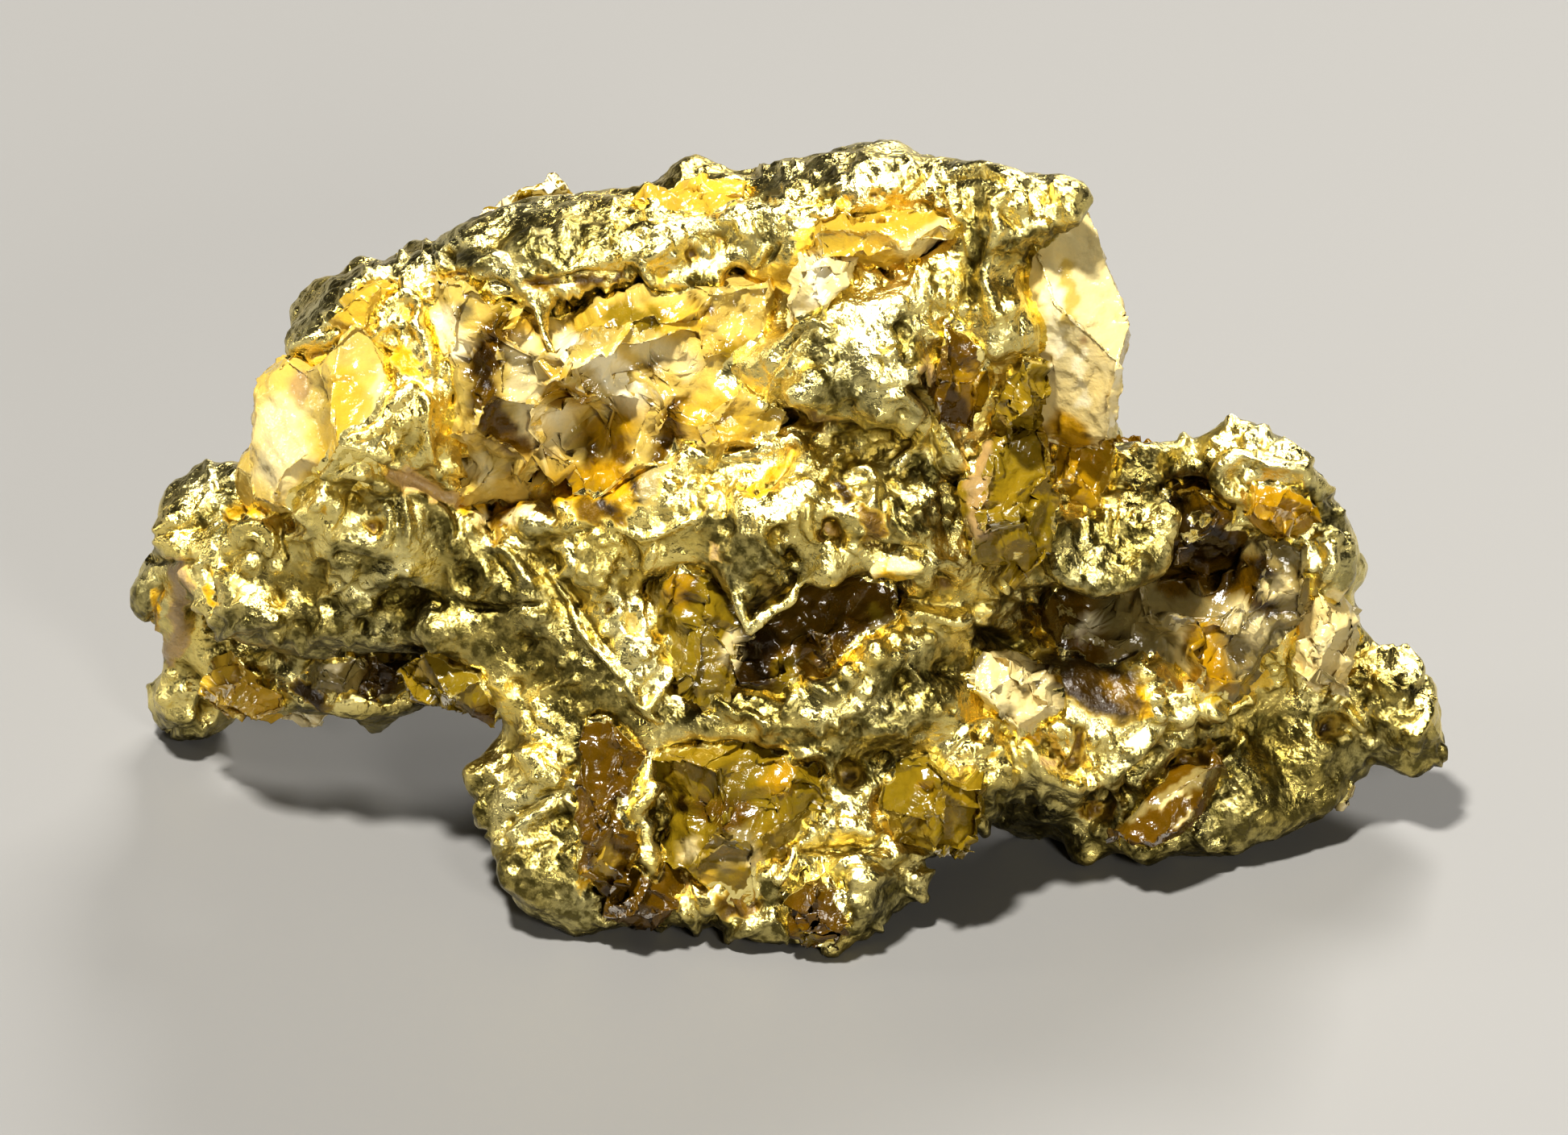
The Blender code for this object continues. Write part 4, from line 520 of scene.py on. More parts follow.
# Painted shade: dark, grainy spots of the gold where it lies in shade: how wide, how dark, and the places
# they run along
PAINTED_SHADE_PATCHES = [
    (50, 1.5, 640,1110, 700,1120, 780,1140), (60, 1.3, 1320,690, 1400,690), (34, 2.0, 1320,712, 1400,715),
    (30, 1.2, 1440,620, 1500,600), (30, 1.2, 1740,930, 1790,930), (44, 1.2, 900,700, 960,700),
    (34, 1.1, 1110,640, 1180,640), (30, 1.2, 1130,900, 1080,960), (26, 1.2, 700,820, 760,880),
    (30, 1.2, 480,740, 600,760), (55, 1.2, 300,800, 420,790, 540,780, 640,790),
    (60, 1.2, 1420,975, 1560,950, 1720,960), (40, 1.0, 1380,1040, 1540,1030, 1640,1000),
    (30, 0.8, 600,980, 590,1040), (30, 1.0, 860,1160, 960,1165), (22, 0.9, 1040,850, 960,880, 880,870),
    (26, 0.8, 1560,900, 1640,880), (26, 0.9, 180,900, 240,915), (24, 0.8, 160,770, 175,740),
    (22, 0.8, 330,440, 350,400), (22, 0.9, 560,330, 600,320), (60, 0.9, 600,720, 680,800, 760,880),
    (30, 0.7, 535,610, 560,680, 640,745), (30, 0.6, 480,600, 500,650), (45, 0.7, 655,290, 690,310, 740,290),
    (14, 0.9, 660,345, 680,338), (18, 0.9, 785,340, 800,360), (48, 0.7, 1020,430, 1040,490, 1060,520),
    (20, 0.9, 1120,400, 1130,445), (24, 0.9, 1140,580, 1175,600, 1195,605),
    (32, 0.9, 890,650, 920,700, 935,745), (24, 0.9, 960,730, 985,700),
    (48, 0.8, 1110,850, 1180,835, 1080,910), (22, 1.0, 1215,790, 1260,800),
    (30, 1.0, 1310,705, 1360,715, 1410,705), (40, 0.6, 1330,670, 1400,660), (45, 0.5, 1400,580, 1480,570),
    (26, 1.0, 1620,620, 1655,650), (34, 0.8, 1690,855, 1740,865, 1720,890),
    (18, 0.9, 1210,235, 1215,300, 1205,370), (18, 0.9, 1160,335, 1165,350), (18, 1.0, 1285,295, 1340,292),
    (26, 0.8, 1255,310, 1290,318), (28, 1.0, 600,1070, 690,1060), (22, 0.9, 700,1010, 700,1050),
    (24, 1.0, 700,880, 715,940), (26, 1.0, 790,1085, 815,1130), (22, 1.0, 950,1105, 980,1135),
    (20, 1.0, 1000,1085, 1040,1100), (28, 1.0, 1065,1140, 1120,1110),
    (34, 0.9, 1235,1000, 1290,1015, 1330,1050), (34, 1.0, 1600,930, 1680,950, 1760,960),
    (20, 1.0, 830,885, 880,895), (16, 1.0, 955,912, 1010,915), (26, 1.0, 1045,940, 1100,935),
    (20, 0.8, 250,640, 300,600), (34, 0.8, 600,640, 560,650), (22, 0.8, 420,690, 470,700),
    (30, 0.7, 400,760, 480,770, 560,760), (16, 0.8, 1030,210, 1030,245), (16, 0.9, 860,345, 880,350),
    (14, 0.8, 955,310, 945,270), (40, 1.0, 1480,1000, 1560,960), (20, 0.9, 820,1010, 820,1040),
    (20, 0.8, 1010,950, 1005,965),
]

# Thin free edges of the gold: half their thickness in pixels, whether they span a gap, and the places
# they run along
LIPS = [
    (9, False, 362,618, 385,604, 405,588, 428,562, 450,545, 470,528, 490,505, 508,484),
    (22, False, 400,622, 430,590, 462,562, 492,530, 510,505), (24, False, 450,605, 490,575, 520,555, 525,520),
    (9, False, 508,484, 522,505, 530,530, 548,560, 570,590),
    (6, True, 905,712, 912,730, 918,750, 922,770, 930,784, 940,772, 952,762, 965,754, 978,748, 985,738,
        992,725, 1003,712, 1018,700, 1033,688),
    (6, True, 1316,900, 1328,905, 1334,920, 1336,932, 1331,941, 1322,936),
    (5, True, 1490,640, 1505,645, 1520,650, 1540,650, 1560,652),
    (5, False, 1228,398, 1212,405, 1200,418, 1197,432, 1205,445, 1217,455),
    (5, False, 655,370, 665,385, 672,405, 680,425, 690,440, 700,443, 715,447, 728,455, 740,465, 748,478,
        745,495, 735,515), (5, False, 1262,345, 1265,360, 1270,375, 1275,395, 1282,412, 1290,450, 1300,490),
    (6, False, 530,470, 538,500, 545,530, 550,560, 550,590), (5, True, 1262,680, 1258,700, 1265,715),
]


# ---------------------------------------------------------------- colours

CREAM = (0.80, 0.67, 0.33)
WHITE = (0.86, 0.78, 0.52)
STRAW = (0.74, 0.55, 0.14)
ROSE = (0.48, 0.33, 0.14)
GREY = (0.34, 0.27, 0.10)
HONEY = (0.74, 0.50, 0.06)
AMBER = (0.55, 0.32, 0.008)
OLIVE = (0.31, 0.215, 0.012)
BROWN = (0.15, 0.08, 0.002)
UMBER = (0.035, 0.018, 0.001)

GOLD = (1.0, 0.80, 0.24)
PALE_GOLD = (1.0, 0.88, 0.40)
# The colour of painted shade in the gold's hollows, partly also the soil in them
HOLLOW_SHADE_AND_SOIL = (0.40, 0.30, 0.07)
# The dark colour of painted shade and of random tarnish on the gold
TARNISH_AND_SHADE = (0.10, 0.082, 0.02)
GILT = (1.0, 0.85, 0.34)
CLOUD = (0.78, 0.66, 0.40)
FLOOR_GREY = (0.19, 0.188, 0.182)

# Stained and quartz-filled spots of the gold, one painted shadow, and rose patches that are partly tan
# staining and partly painted rosy reflection: the colour, how far it reaches in pixels, and the places it
# runs along
STAINS_SHADOWS_AND_REFLECTIONS = [
    (AMBER, 34, 700,600, 745,612, 790,590), (BROWN, 22, 715,585, 735,570), (BROWN, 20, 770,640, 725,630),
    # The grey patch from (825,560) to (800,620) is a painted shadow down the crown hollow's right edge
    (UMBER, 9, 750,612, 757,634), (UMBER, 9, 793,590, 786,612), (GREY, 12, 825,560, 812,590, 800,620),
    (CREAM, 20, 600,640, 650,630), (BROWN, 12, 612,628, 625,650), (OLIVE, 20, 560,855, 610,870),
    (UMBER, 50, 1320,830, 1390,862), (BROWN, 20, 1380,850, 1400,866), (OLIVE, 30, 1490,800, 1505,850),
    (CREAM, 10, 1468,775, 1470,820, 1480,860), (CREAM, 9, 1530,862, 1552,845),
    (BROWN, 26, 780,1115, 805,1130), (BROWN, 22, 900,1120, 925,1125), (BROWN, 20, 1080,640, 1085,660),
    (UMBER, 12, 1045,605, 1050,620), (BROWN, 16, 440,840, 500,850), (UMBER, 14, 370,850, 400,870),
    (AMBER, 13, 290,635, 310,632, 345,622), (AMBER, 8, 365,651), (AMBER, 6, 401,638),
    (AMBER, 8, 197,735, 190,765, 187,790), (AMBER, 6, 257,710, 262,735, 263,755), (BROWN, 11, 465,655),
    # The rose column from (222,705) to (215,815) is gold in shade with a painted reddish reflection
    (ROSE, 18, 222,705, 224,760, 215,815), (HONEY, 14, 450,365, 440,385), (AMBER, 8, 425,396, 445,392),
    (HONEY, 13, 385,440, 400,448), (AMBER, 16, 495,445, 515,450), (AMBER, 7, 507,386), (AMBER, 6, 508,415),
    (BROWN, 8, 540,343, 575,341), (HONEY, 14, 822,340), (BROWN, 9, 655,352, 700,348, 770,345),
    (AMBER, 24, 915,350), (HONEY, 20, 955,340, 985,345), (BROWN, 11, 858,312), (BROWN, 7, 895,300),
    (HONEY, 16, 870,240, 920,238), (AMBER, 9, 825,242), (AMBER, 12, 1050,250), (BROWN, 8, 1085,243),
    (HONEY, 14, 995,310, 1000,290), (ROSE, 14, 1150,455, 1165,485), (ROSE, 16, 1030,655),
    (BROWN, 14, 965,520, 1000,522, 1030,526), (AMBER, 12, 985,560, 955,595, 935,612),
    (HONEY, 24, 870,525, 930,528), (AMBER, 9, 575,626, 610,627, 660,618), (BROWN, 8, 610,645, 615,668),
    (ROSE, 14, 490,590, 530,605, 560,620), (AMBER, 9, 1090,715, 1125,722), (BROWN, 18, 1172,722),
    (CREAM, 10, 1085,703, 1138,702), (GREY, 14, 785,772), (BROWN, 12, 755,755), (ROSE, 22, 840,1098),
    (AMBER, 9, 735,1060, 727,1085, 723,1103), (CREAM, 8, 1108,965, 1116,983),
    (BROWN, 12, 1360,1000, 1345,1005), (AMBER, 11, 970,1062), (UMBER, 20, 1055,962),
    (BROWN, 12, 1325,950, 1342,915), (AMBER, 8, 1250,905, 1285,915), (HONEY, 22, 1590,628),
    (AMBER, 10, 1580,630), (BROWN, 8, 1567,552), (AMBER, 8, 1420,855, 1421,890),
    (HONEY, 10, 1615,765, 1600,785), (CREAM, 26, 1635,790, 1635,835), (CREAM, 16, 1660,740, 1668,775),
    (ROSE, 14, 1300,945), (BROWN, 20, 1500,935, 1465,950), (GREY, 18, 1480,725, 1520,728),
    (UMBER, 18, 1650,900), (ROSE, 12, 885,685), (AMBER, 6, 1228,941), (HONEY, 10, 1560,850, 1575,842),
]

# Colours of the quartz where it shows in front, in the same form, with a few painted shadows among them
TINTS = [
    (OLIVE, 45, 600,240, 660,225, 710,215), (CREAM, 44, 345,520, 350,580),
    (HONEY, 30, 428,480, 425,530, 410,590), (CREAM, 9, 472,460, 468,530, 455,600), (AMBER, 24, 500,450),
    (BROWN, 13, 505,490), (ROSE, 22, 370,480), (WHITE, 26, 550,400, 562,430), (GREY, 18, 575,390),
    (OLIVE, 20, 634,368, 622,400), (BROWN, 26, 618,408, 604,440, 600,480, 604,520),
    (UMBER, 16, 600,445, 602,470), (BROWN, 24, 615,530, 650,550), (HONEY, 20, 650,400, 690,470),
    (CREAM, 26, 650,430, 655,500, 680,545), (WHITE, 28, 705,428, 745,450, 785,492),
    (HONEY, 26, 720,398, 790,398, 855,400), (AMBER, 14, 680,482, 722,490), (WHITE, 24, 690,518),
    # The brown patches at (733,550) and (766,548) are painted shadows
    (AMBER, 30, 745,540, 770,530), (BROWN, 15, 733,550, 738,585), (BROWN, 13, 766,548, 772,572),
    (BROWN, 14, 805,458, 825,448), (OLIVE, 22, 810,400, 770,392), (OLIVE, 18, 900,440, 935,430),
    (BROWN, 10, 860,370, 880,385), (AMBER, 36, 700,605, 760,600, 785,640), (UMBER, 8, 750,612),
    # The brown patch from (842,505) to (812,590) is a painted shadow along the hollow's right edge
    (UMBER, 8, 750,633), (UMBER, 9, 793,590), (UMBER, 7, 785,615), (BROWN, 20, 842,505, 830,540, 812,590),
    (CREAM, 20, 800,430, 850,455), (HONEY, 40, 880,520, 930,532), (CREAM, 20, 570,565, 600,585),
    (WHITE, 14, 1015,325, 1012,375, 985,410), (HONEY, 26, 1030,300, 1065,295),
    (CREAM, 22, 1130,305, 1170,290), (BROWN, 26, 1190,400, 1190,440), (AMBER, 22, 1205,470, 1215,495),
    (OLIVE, 26, 1262,490), (WHITE, 14, 1305,360, 1310,440), (WHITE, 8, 1340,440, 1345,500),
    (STRAW, 10, 1325,330, 1330,400), (GREY, 12, 1285,370), (ROSE, 12, 1345,420),
    (AMBER, 36, 1325,540, 1335,590), (HONEY, 14, 1325,632), (OLIVE, 24, 1255,570, 1258,650),
    (ROSE, 16, 1220,560, 1210,620, 1218,660), (OLIVE, 14, 1240,690), (UMBER, 34, 1460,640, 1510,690),
    # The brown patch from (1552,700) to (1560,750) is a painted shadow
    (BROWN, 18, 1445,670), (BROWN, 24, 1552,700, 1560,750), (BROWN, 60, 1320,760, 1340,850),
    (BROWN, 26, 1450,720, 1560,720), (UMBER, 22, 1310,815), (WHITE, 18, 1352,775), (GREY, 30, 1400,765),
    # The umber patch from (1562,705) to (1575,750) is a painted shadow
    (AMBER, 30, 1488,790, 1505,845), (HONEY, 12, 1505,862), (UMBER, 14, 1562,705, 1575,750),
    (CREAM, 9, 1462,775, 1466,830), (CREAM, 20, 1540,760, 1560,785), (CREAM, 22, 1585,730),
    (HONEY, 12, 1545,850), (CREAM, 34, 1245,850, 1290,870), (GREY, 9, 1270,858), (GREY, 7, 1250,880),
    (UMBER, 6, 1285,845), (AMBER, 26, 838,690, 845,730), (BROWN, 10, 870,700, 858,740),
    (OLIVE, 24, 880,730, 875,800), (CREAM, 16, 908,795, 910,825), (BROWN, 80, 1010,760, 1070,740),
    (UMBER, 30, 945,800, 935,835), (OLIVE, 16, 975,825, 965,870), (GREY, 10, 1100,770, 1065,800),
    (OLIVE, 12, 1085,760), (OLIVE, 50, 860,930, 900,940), (AMBER, 28, 965,965), (UMBER, 13, 845,995),
    (BROWN, 26, 880,1005, 915,1010), (GREY, 24, 905,1060, 920,1045), (CREAM, 18, 857,1055),
    (CREAM, 14, 935,1068), (HONEY, 12, 880,1090), (BROWN, 34, 760,930, 770,970), (UMBER, 11, 765,995),
    (HONEY, 20, 752,1070), (AMBER, 16, 730,1090), (OLIVE, 34, 1140,970, 1165,1010), (AMBER, 12, 1150,975),
    (BROWN, 30, 795,1120), (BROWN, 22, 1005,1125), (OLIVE, 14, 1000,1158),
    (GREY, 8, 1400,1012, 1450,988, 1505,955), (CREAM, 4, 1440,1000, 1470,985),
    (CREAM, 4, 1455,1020, 1480,1012), (OLIVE, 60, 540,850, 620,870), (BROWN, 20, 600,885),
    (WHITE, 12, 412,832), (BROWN, 26, 470,840), (HONEY, 30, 280,860, 320,875), (CREAM, 20, 1640,800),
]

# The colour of each quartz node away from those patches
BODY_TINTS = {
    "quartz_window": STRAW, "quartz_crown_hollow": STRAW, "quartz_slot": BROWN, "quartz_drop": OLIVE,
    "quartz_block": CREAM, "quartz_left_cap": HONEY, "quartz_crown_patch": HONEY,
    "quartz_crown_strip": HONEY, "quartz_splinter": CREAM, "quartz_right_eye": AMBER,
    "quartz_pillar": OLIVE, "quartz_right_upper": BROWN, "quartz_brow": AMBER,
    "quartz_right_hollow": GREY, "quartz_white_chip": CREAM, "quartz_right_column": CREAM,
    "quartz_tall_pair": OLIVE, "quartz_heart": BROWN, "quartz_front_hollow": OLIVE,
    "quartz_front_slot": BROWN, "quartz_front_chip": OLIVE, "quartz_underside": OLIVE,
    "quartz_left_chip": GREY, "quartz_left_bead": BROWN, "quartz_left_wedge": HONEY,
    # quartz_layer's brown is painted shade: the chip lies in shade on the underside
    "quartz_toe_left": BROWN, "quartz_toe_right": BROWN, "quartz_layer": BROWN,
}
REAR_TINTS = (HONEY, CREAM, AMBER, WHITE, OLIVE, BROWN)


# ---------------------------------------------------------------- from the picture to the surface

def smooth_line(points, steps=5):
    """A Catmull-Rom curve through the points."""
    points = [Vector(p) for p in points]
    if len(points) < 3:
        return points
    ends = [2 * points[0] - points[1], *points, 2 * points[-1] - points[-2]]
    line = []
    for a, b, c, d in zip(ends, ends[1:], ends[2:], ends[3:]):
        for i in range(steps):
            t = i / steps
            bend = (2 * a - 5 * b + 4 * c - d) * t**2 + (3 * b - a - 3 * c + d) * t**3
            line.append(0.5 * (2 * b + (c - a) * t + bend))
    return [*line, points[-1]]


def distances(pixels, points):
    """How far each pixel place is from the line through the points."""
    if len(points) == 1:
        return np.linalg.norm(pixels - np.array(points[0]), axis=1)
    nearest = np.full(len(pixels), np.inf)
    for a, b in zip(points, points[1:]):
        a, b = np.array(a), np.array(b)
        along = np.clip((pixels - a) @ (b - a) / ((b - a) @ (b - a)), 0, 1)
        nearest = np.minimum(nearest, np.linalg.norm(pixels - a - along[:, None] * (b - a), axis=1))
    return nearest


def reached(pixels, open_to_view, width, points):
    """The vertices near a curve through the points, and how many widths each is away from it."""
    line = [tuple(p) for p in smooth_line(points)]
    low, high = np.min(line, axis=0) - width, np.max(line, axis=0) + width
    near = np.flatnonzero(open_to_view & (pixels > low).all(1) & (pixels < high).all(1))
    return near, distances(pixels[near], line) / width


def strokes_rise(pixels, open_to_view, strokes):
    """How far each vertex rises under the strokes, in millimetres."""
    rise = np.zeros(len(pixels))
    for width, height, points in strokes:
        near, away = reached(pixels, open_to_view, width, points)
        rise[near] += height * (1 - np.clip(away, 0, 1)**2) ** 2
    return rise


# How far, in pixels, the edges of patches stray, and how steeply their colour ends
SLOW_WAVER, FAST_WAVER = 4, 2.5
PATCH_STEEPNESS = 2.2


def wavering(pixels):
    """The pixels moved a little to and fro, so that the edges of patches run unevenly."""
    x, y = pixels.T
    slow = np.stack([np.sin(y / 9 + 2 * np.sin(x / 13)), np.sin(x / 8 + 2 * np.sin(y / 11))], 1)
    fast = np.stack([np.sin(y / 3.7 + x / 5.1), np.sin(x / 4.1 - y / 4.3)], 1)
    return pixels + SLOW_WAVER * slow + FAST_WAVER * fast


def coloured(pixels, open_to_view, patches, start):
    """The colour of each vertex under the patches, over its starting colour and share."""
    pixels = wavering(pixels)
    colours = np.tile(np.array(start, float), (len(pixels), 1))
    for colour, width, *places in patches:
        near, away = reached(pixels, open_to_view, width, pairs(places))
        share = np.clip((1 - away) * PATCH_STEEPNESS, 0, 1)[:, None]
        colours[near] += share * (np.array((*colour, 1.0)) - colours[near])
    return colours


def seen_first(pixels, depth, cell=5, slack=0.3):
    """Which vertices the camera sees, from the nearest depth in each small square of the picture."""
    places = (pixels / cell).astype(int)
    columns, rows = PICTURE_PIXELS[0] // cell + 1, PICTURE_PIXELS[1] // cell + 1
    inside = (places >= 0).all(1) & (places[:, 0] < columns) & (places[:, 1] < rows - 1)
    index = np.where(inside, places[:, 1] * columns + places[:, 0], 0)
    nearest = np.full(columns * rows, np.inf)
    np.minimum.at(nearest, index[inside], depth[inside])
    return inside & (depth < nearest[index] + slack)


# ---------------------------------------------------------------- meshes

def to_object(name, shape):
    mesh = bpy.data.meshes.new(name)
    shape.to_mesh(mesh)
    shape.free()
    obj = bpy.data.objects.new(name, mesh)
    bpy.context.scene.collection.objects.link(obj)
    return obj


def applied(obj):
    """The object's mesh with its modifiers carried out, as a bmesh. The object is removed."""
    graph = bpy.context.evaluated_depsgraph_get()
    shape = bmesh.new()
    shape.from_mesh(obj.evaluated_get(graph).data)
    bpy.data.objects.remove(obj)
    return shape


def fused(shape, voxel, smoothing):
    """Everything in the bmesh as one skin, with its creases softened. voxel is in millimetres."""
    obj = to_object("fused", shape)
    remesh = obj.modifiers.new("Fuse", "REMESH")
    remesh.mode = "VOXEL"
    remesh.voxel_size = voxel * UNIT
    smooth = obj.modifiers.new("Soften", "SMOOTH")
    smooth.factor = 0.5
    smooth.iterations = smoothing
    return applied(obj)


def enlarged_copy(node):
    """A CAD node's mesh as an enlarged bmesh."""
    shape = bmesh.new()
    shape.from_mesh(frame["nodes"][node].data)
    bmesh.ops.remove_doubles(shape, verts=shape.verts, dist=1e-8)
    shape.transform(Matrix.Scale(ENLARGED, 4))
    return shape


def drop_crumbs(shape):
    """Deletes every bit that isn't joined to the biggest part of the shape."""
    seen, parts = set(), []
    for first in shape.verts:
        if first in seen:
            continue
        seen.add(first)
        part = [first]
        for v in part:
            for edge in v.link_edges:
                other = edge.other_vert(v)
                if other not in seen:
                    seen.add(other)
                    part.append(other)
        parts.append(part)
    parts.sort(key=len)
    crumbs = [v for part in parts[:-1] for v in part]
    bmesh.ops.delete(shape, geom=crumbs, context="VERTS")


def finished(obj, name, node, slot, material):
    """Puts a sculpted object in the scene at its real size, in place of its CAD node."""
    shape = applied(obj)
    shape.transform(Matrix.Scale(1 / ENLARGED, 4))
    drop_crumbs(shape)
    piece = to_object(name, shape)
    piece.data.materials.append(material)
    piece.data.shade_smooth()
    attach(piece, "root")
    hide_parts(node)
    return piece


def vertex_data(mesh, name="co"):
    values = np.empty(len(mesh.vertices) * 3)
    mesh.vertices.foreach_get(name, values)
    return values.reshape(-1, 3)


def mesh_edges(mesh):
    edges = np.empty(len(mesh.edges) * 2, int)
    mesh.edges.foreach_get("vertices", edges)
    return edges.reshape(-1, 2)


def averaged(values, edges, rounds):
    """Each vertex's values, smoothed over its neighbours that many times."""
    counts = np.bincount(edges.ravel(), minlength=len(values))[:, None]
    for _ in range(rounds):
        total = np.empty_like(values)
        for k in range(values.shape[1]):
            column = values[:, k]
            total[:, k] = np.bincount(edges[:, 0], column[edges[:, 1]], len(values))
            total[:, k] += np.bincount(edges[:, 1], column[edges[:, 0]], len(values))
        values = total / counts
    return values


def smooth_normals(mesh, rounds):
    """The directions in which the sculpting moves vertices."""
    ways = averaged(vertex_data(mesh, "normal"), mesh_edges(mesh), rounds)
    return ways / np.linalg.norm(ways, axis=1)[:, None]


def move_vertices(mesh, points):
    """Sets the enlarged mesh's vertices, in millimetres, kept inside the CAD model's box and on the floor."""
    inside = np.clip(points, np.array(cad_box[0]) / MM, np.array(cad_box[1]) / MM)
    mesh.vertices.foreach_set("co", (inside * UNIT).ravel())


def colour_layer(mesh, name, colours):
    layer = mesh.attributes.new(name, "FLOAT_COLOR", "POINT")
    layer.data.foreach_set("color", colours.astype(np.float32).ravel())


def value_layer(mesh, name, values):
    layer = mesh.attributes.new(name, "FLOAT", "POINT")
    layer.data.foreach_set("value", values.astype(np.float32))


# ---------------------------------------------------------------- materials

class Nodes:
    """A short way to write a material's nodes. Scales are in cells a metre: 1000 makes them 1 mm wide."""

    def __init__(self, name):
        self.material = bpy.data.materials.new(name)
        self.material.use_nodes = True
        self.tree = self.material.node_tree
        self.tree.nodes.clear()
        self.output = self.tree.nodes.new("ShaderNodeOutputMaterial")
        self.place = self.new("TexCoord").outputs["Object"]

    def new(self, kind, inputs=None, **settings):
        node = self.tree.nodes.new("ShaderNode" + kind)
        for key, value in settings.items():
            setattr(node, key, value)
        for key, value in (inputs or {}).items():
            if isinstance(value, bpy.types.NodeSocket):
                self.tree.links.new(value, node.inputs[key])
            else:
                node.inputs[key].default_value = value
        return node

    def layer(self, name):
        return self.new("Attribute", attribute_name=name).outputs

    def noise(self, scale, detail=3.0, roughness=0.5):
        inputs = {"Vector": self.place, "Scale": scale, "Detail": detail, "Roughness": roughness}
        return self.new("TexNoise", inputs).outputs["Fac"]

    def mix(self, share, first, second, blend="MIX"):
        inputs = {0: share}
        for key, value in ((6, first), (7, second)):
            inputs[key] = value if isinstance(value, bpy.types.NodeSocket) else (*value, 1.0)
        return self.new("Mix", inputs, data_type="RGBA", blend_type=blend).outputs[2]

    def range(self, value, low, high, to_low=0.0, to_high=1.0):
        inputs = {"Value": value, "From Min": low, "From Max": high, "To Min": to_low, "To Max": to_high}
        return self.new("MapRange", inputs).outputs["Result"]

    def math(self, operation, first, second):
        return self.new("Math", {0: first, 1: second}, operation=operation).outputs[0]

    def bump(self, height, distance, strength, normal=None):
        inputs = {"Height": height, "Distance": distance, "Strength": strength}
        if normal is not None:
            inputs["Normal"] = normal
        return self.new("Bump", inputs).outputs["Normal"]

    def finish(self, surface, volume=None):
        self.tree.links.new(surface.outputs[0], self.output.inputs["Surface"])
        if volume is not None:
            self.tree.links.new(volume.outputs[0], self.output.inputs["Volume"])
        return self.material


def gold_material():
    """Bright gold with stains, painted shadow and rosy reflection, random tarnish blotches, and painted shade
    in hollows (partly soil), in spots and on faces that look down.
    """
    n = Nodes("native gold")
    gold = n.mix(n.range(n.noise(900.0, 4.0), 0.35, 0.65), GOLD, PALE_GOLD)
    # Painted shade, partly also soil: the further a vertex lies sunk below its surroundings, the darker its
    # gold
    hollow = n.range(n.layer("relief")["Fac"], -0.07, 0.0, 1.0, 0.0)
    gold = n.mix(hollow, gold, HOLLOW_SHADE_AND_SOIL)

    speckle = n.range(n.noise(6000.0, 4.0, 0.6), 0.42, 0.58, 0.60, 1.0)
    facing = n.new("SeparateXYZ", {"Vector": n.new("NewGeometry").outputs["Normal"]}).outputs["Z"]
    # Painted shade: faces that look down in the world are darkened
    under = n.range(facing, -0.8, 0.2, 0.5, 0.0)
    blotches = n.range(n.noise(600.0, 4.0, 0.6), 0.50, 0.74, 0.0, 0.42)
    # Painted shade from the spots and the down-facing faces, with random tarnish blotches, mixed toward one
    # dark colour
    shade_and_tarnish_share = n.math("ADD", n.math("ADD", n.layer("shade_and_tarnish")["Fac"], blotches), under)
    shade_and_tarnish_share = n.math("MULTIPLY", n.range(shade_and_tarnish_share, 0.0, 0.6, 0.0, 0.95), speckle)
    gold = n.mix(shade_and_tarnish_share, gold, TARNISH_AND_SHADE)

    stain_shadow_reflection = n.layer("stain_shadow_reflection")
    frayed = n.math("ADD", stain_shadow_reflection["Alpha"], n.range(n.noise(5000.0), 0.3, 0.7, -0.25, 0.25))
    stain_shadow_reflection_share = n.range(frayed, 0.35, 0.65)

    normal = n.bump(n.noise(4200.0, 3.0, 0.55), 0.00006, 0.8)
    pits = n.new("TexVoronoi", {"Vector": n.place, "Scale": 9000.0}).outputs["Distance"]
    normal = n.bump(pits, 0.00002, 0.8, normal)
    normal = n.bump(n.noise(14000.0, 4.0, 0.65), 0.00002, 0.9, normal)
    duller = n.math("MULTIPLY", n.math("MAXIMUM", hollow, shade_and_tarnish_share), 0.10)
    roughness = n.math("ADD", n.range(n.noise(2500.0), 0.3, 0.7, 0.16, 0.30), duller)
    return n.finish(n.new("BsdfPrincipled", {
        "Base Color": n.mix(stain_shadow_reflection_share, gold, stain_shadow_reflection["Color"]), "Metallic": n.math("SUBTRACT", 1.0, stain_shadow_reflection_share),
        "Roughness": roughness, "IOR": QUARTZ_IOR, "Normal": normal}))


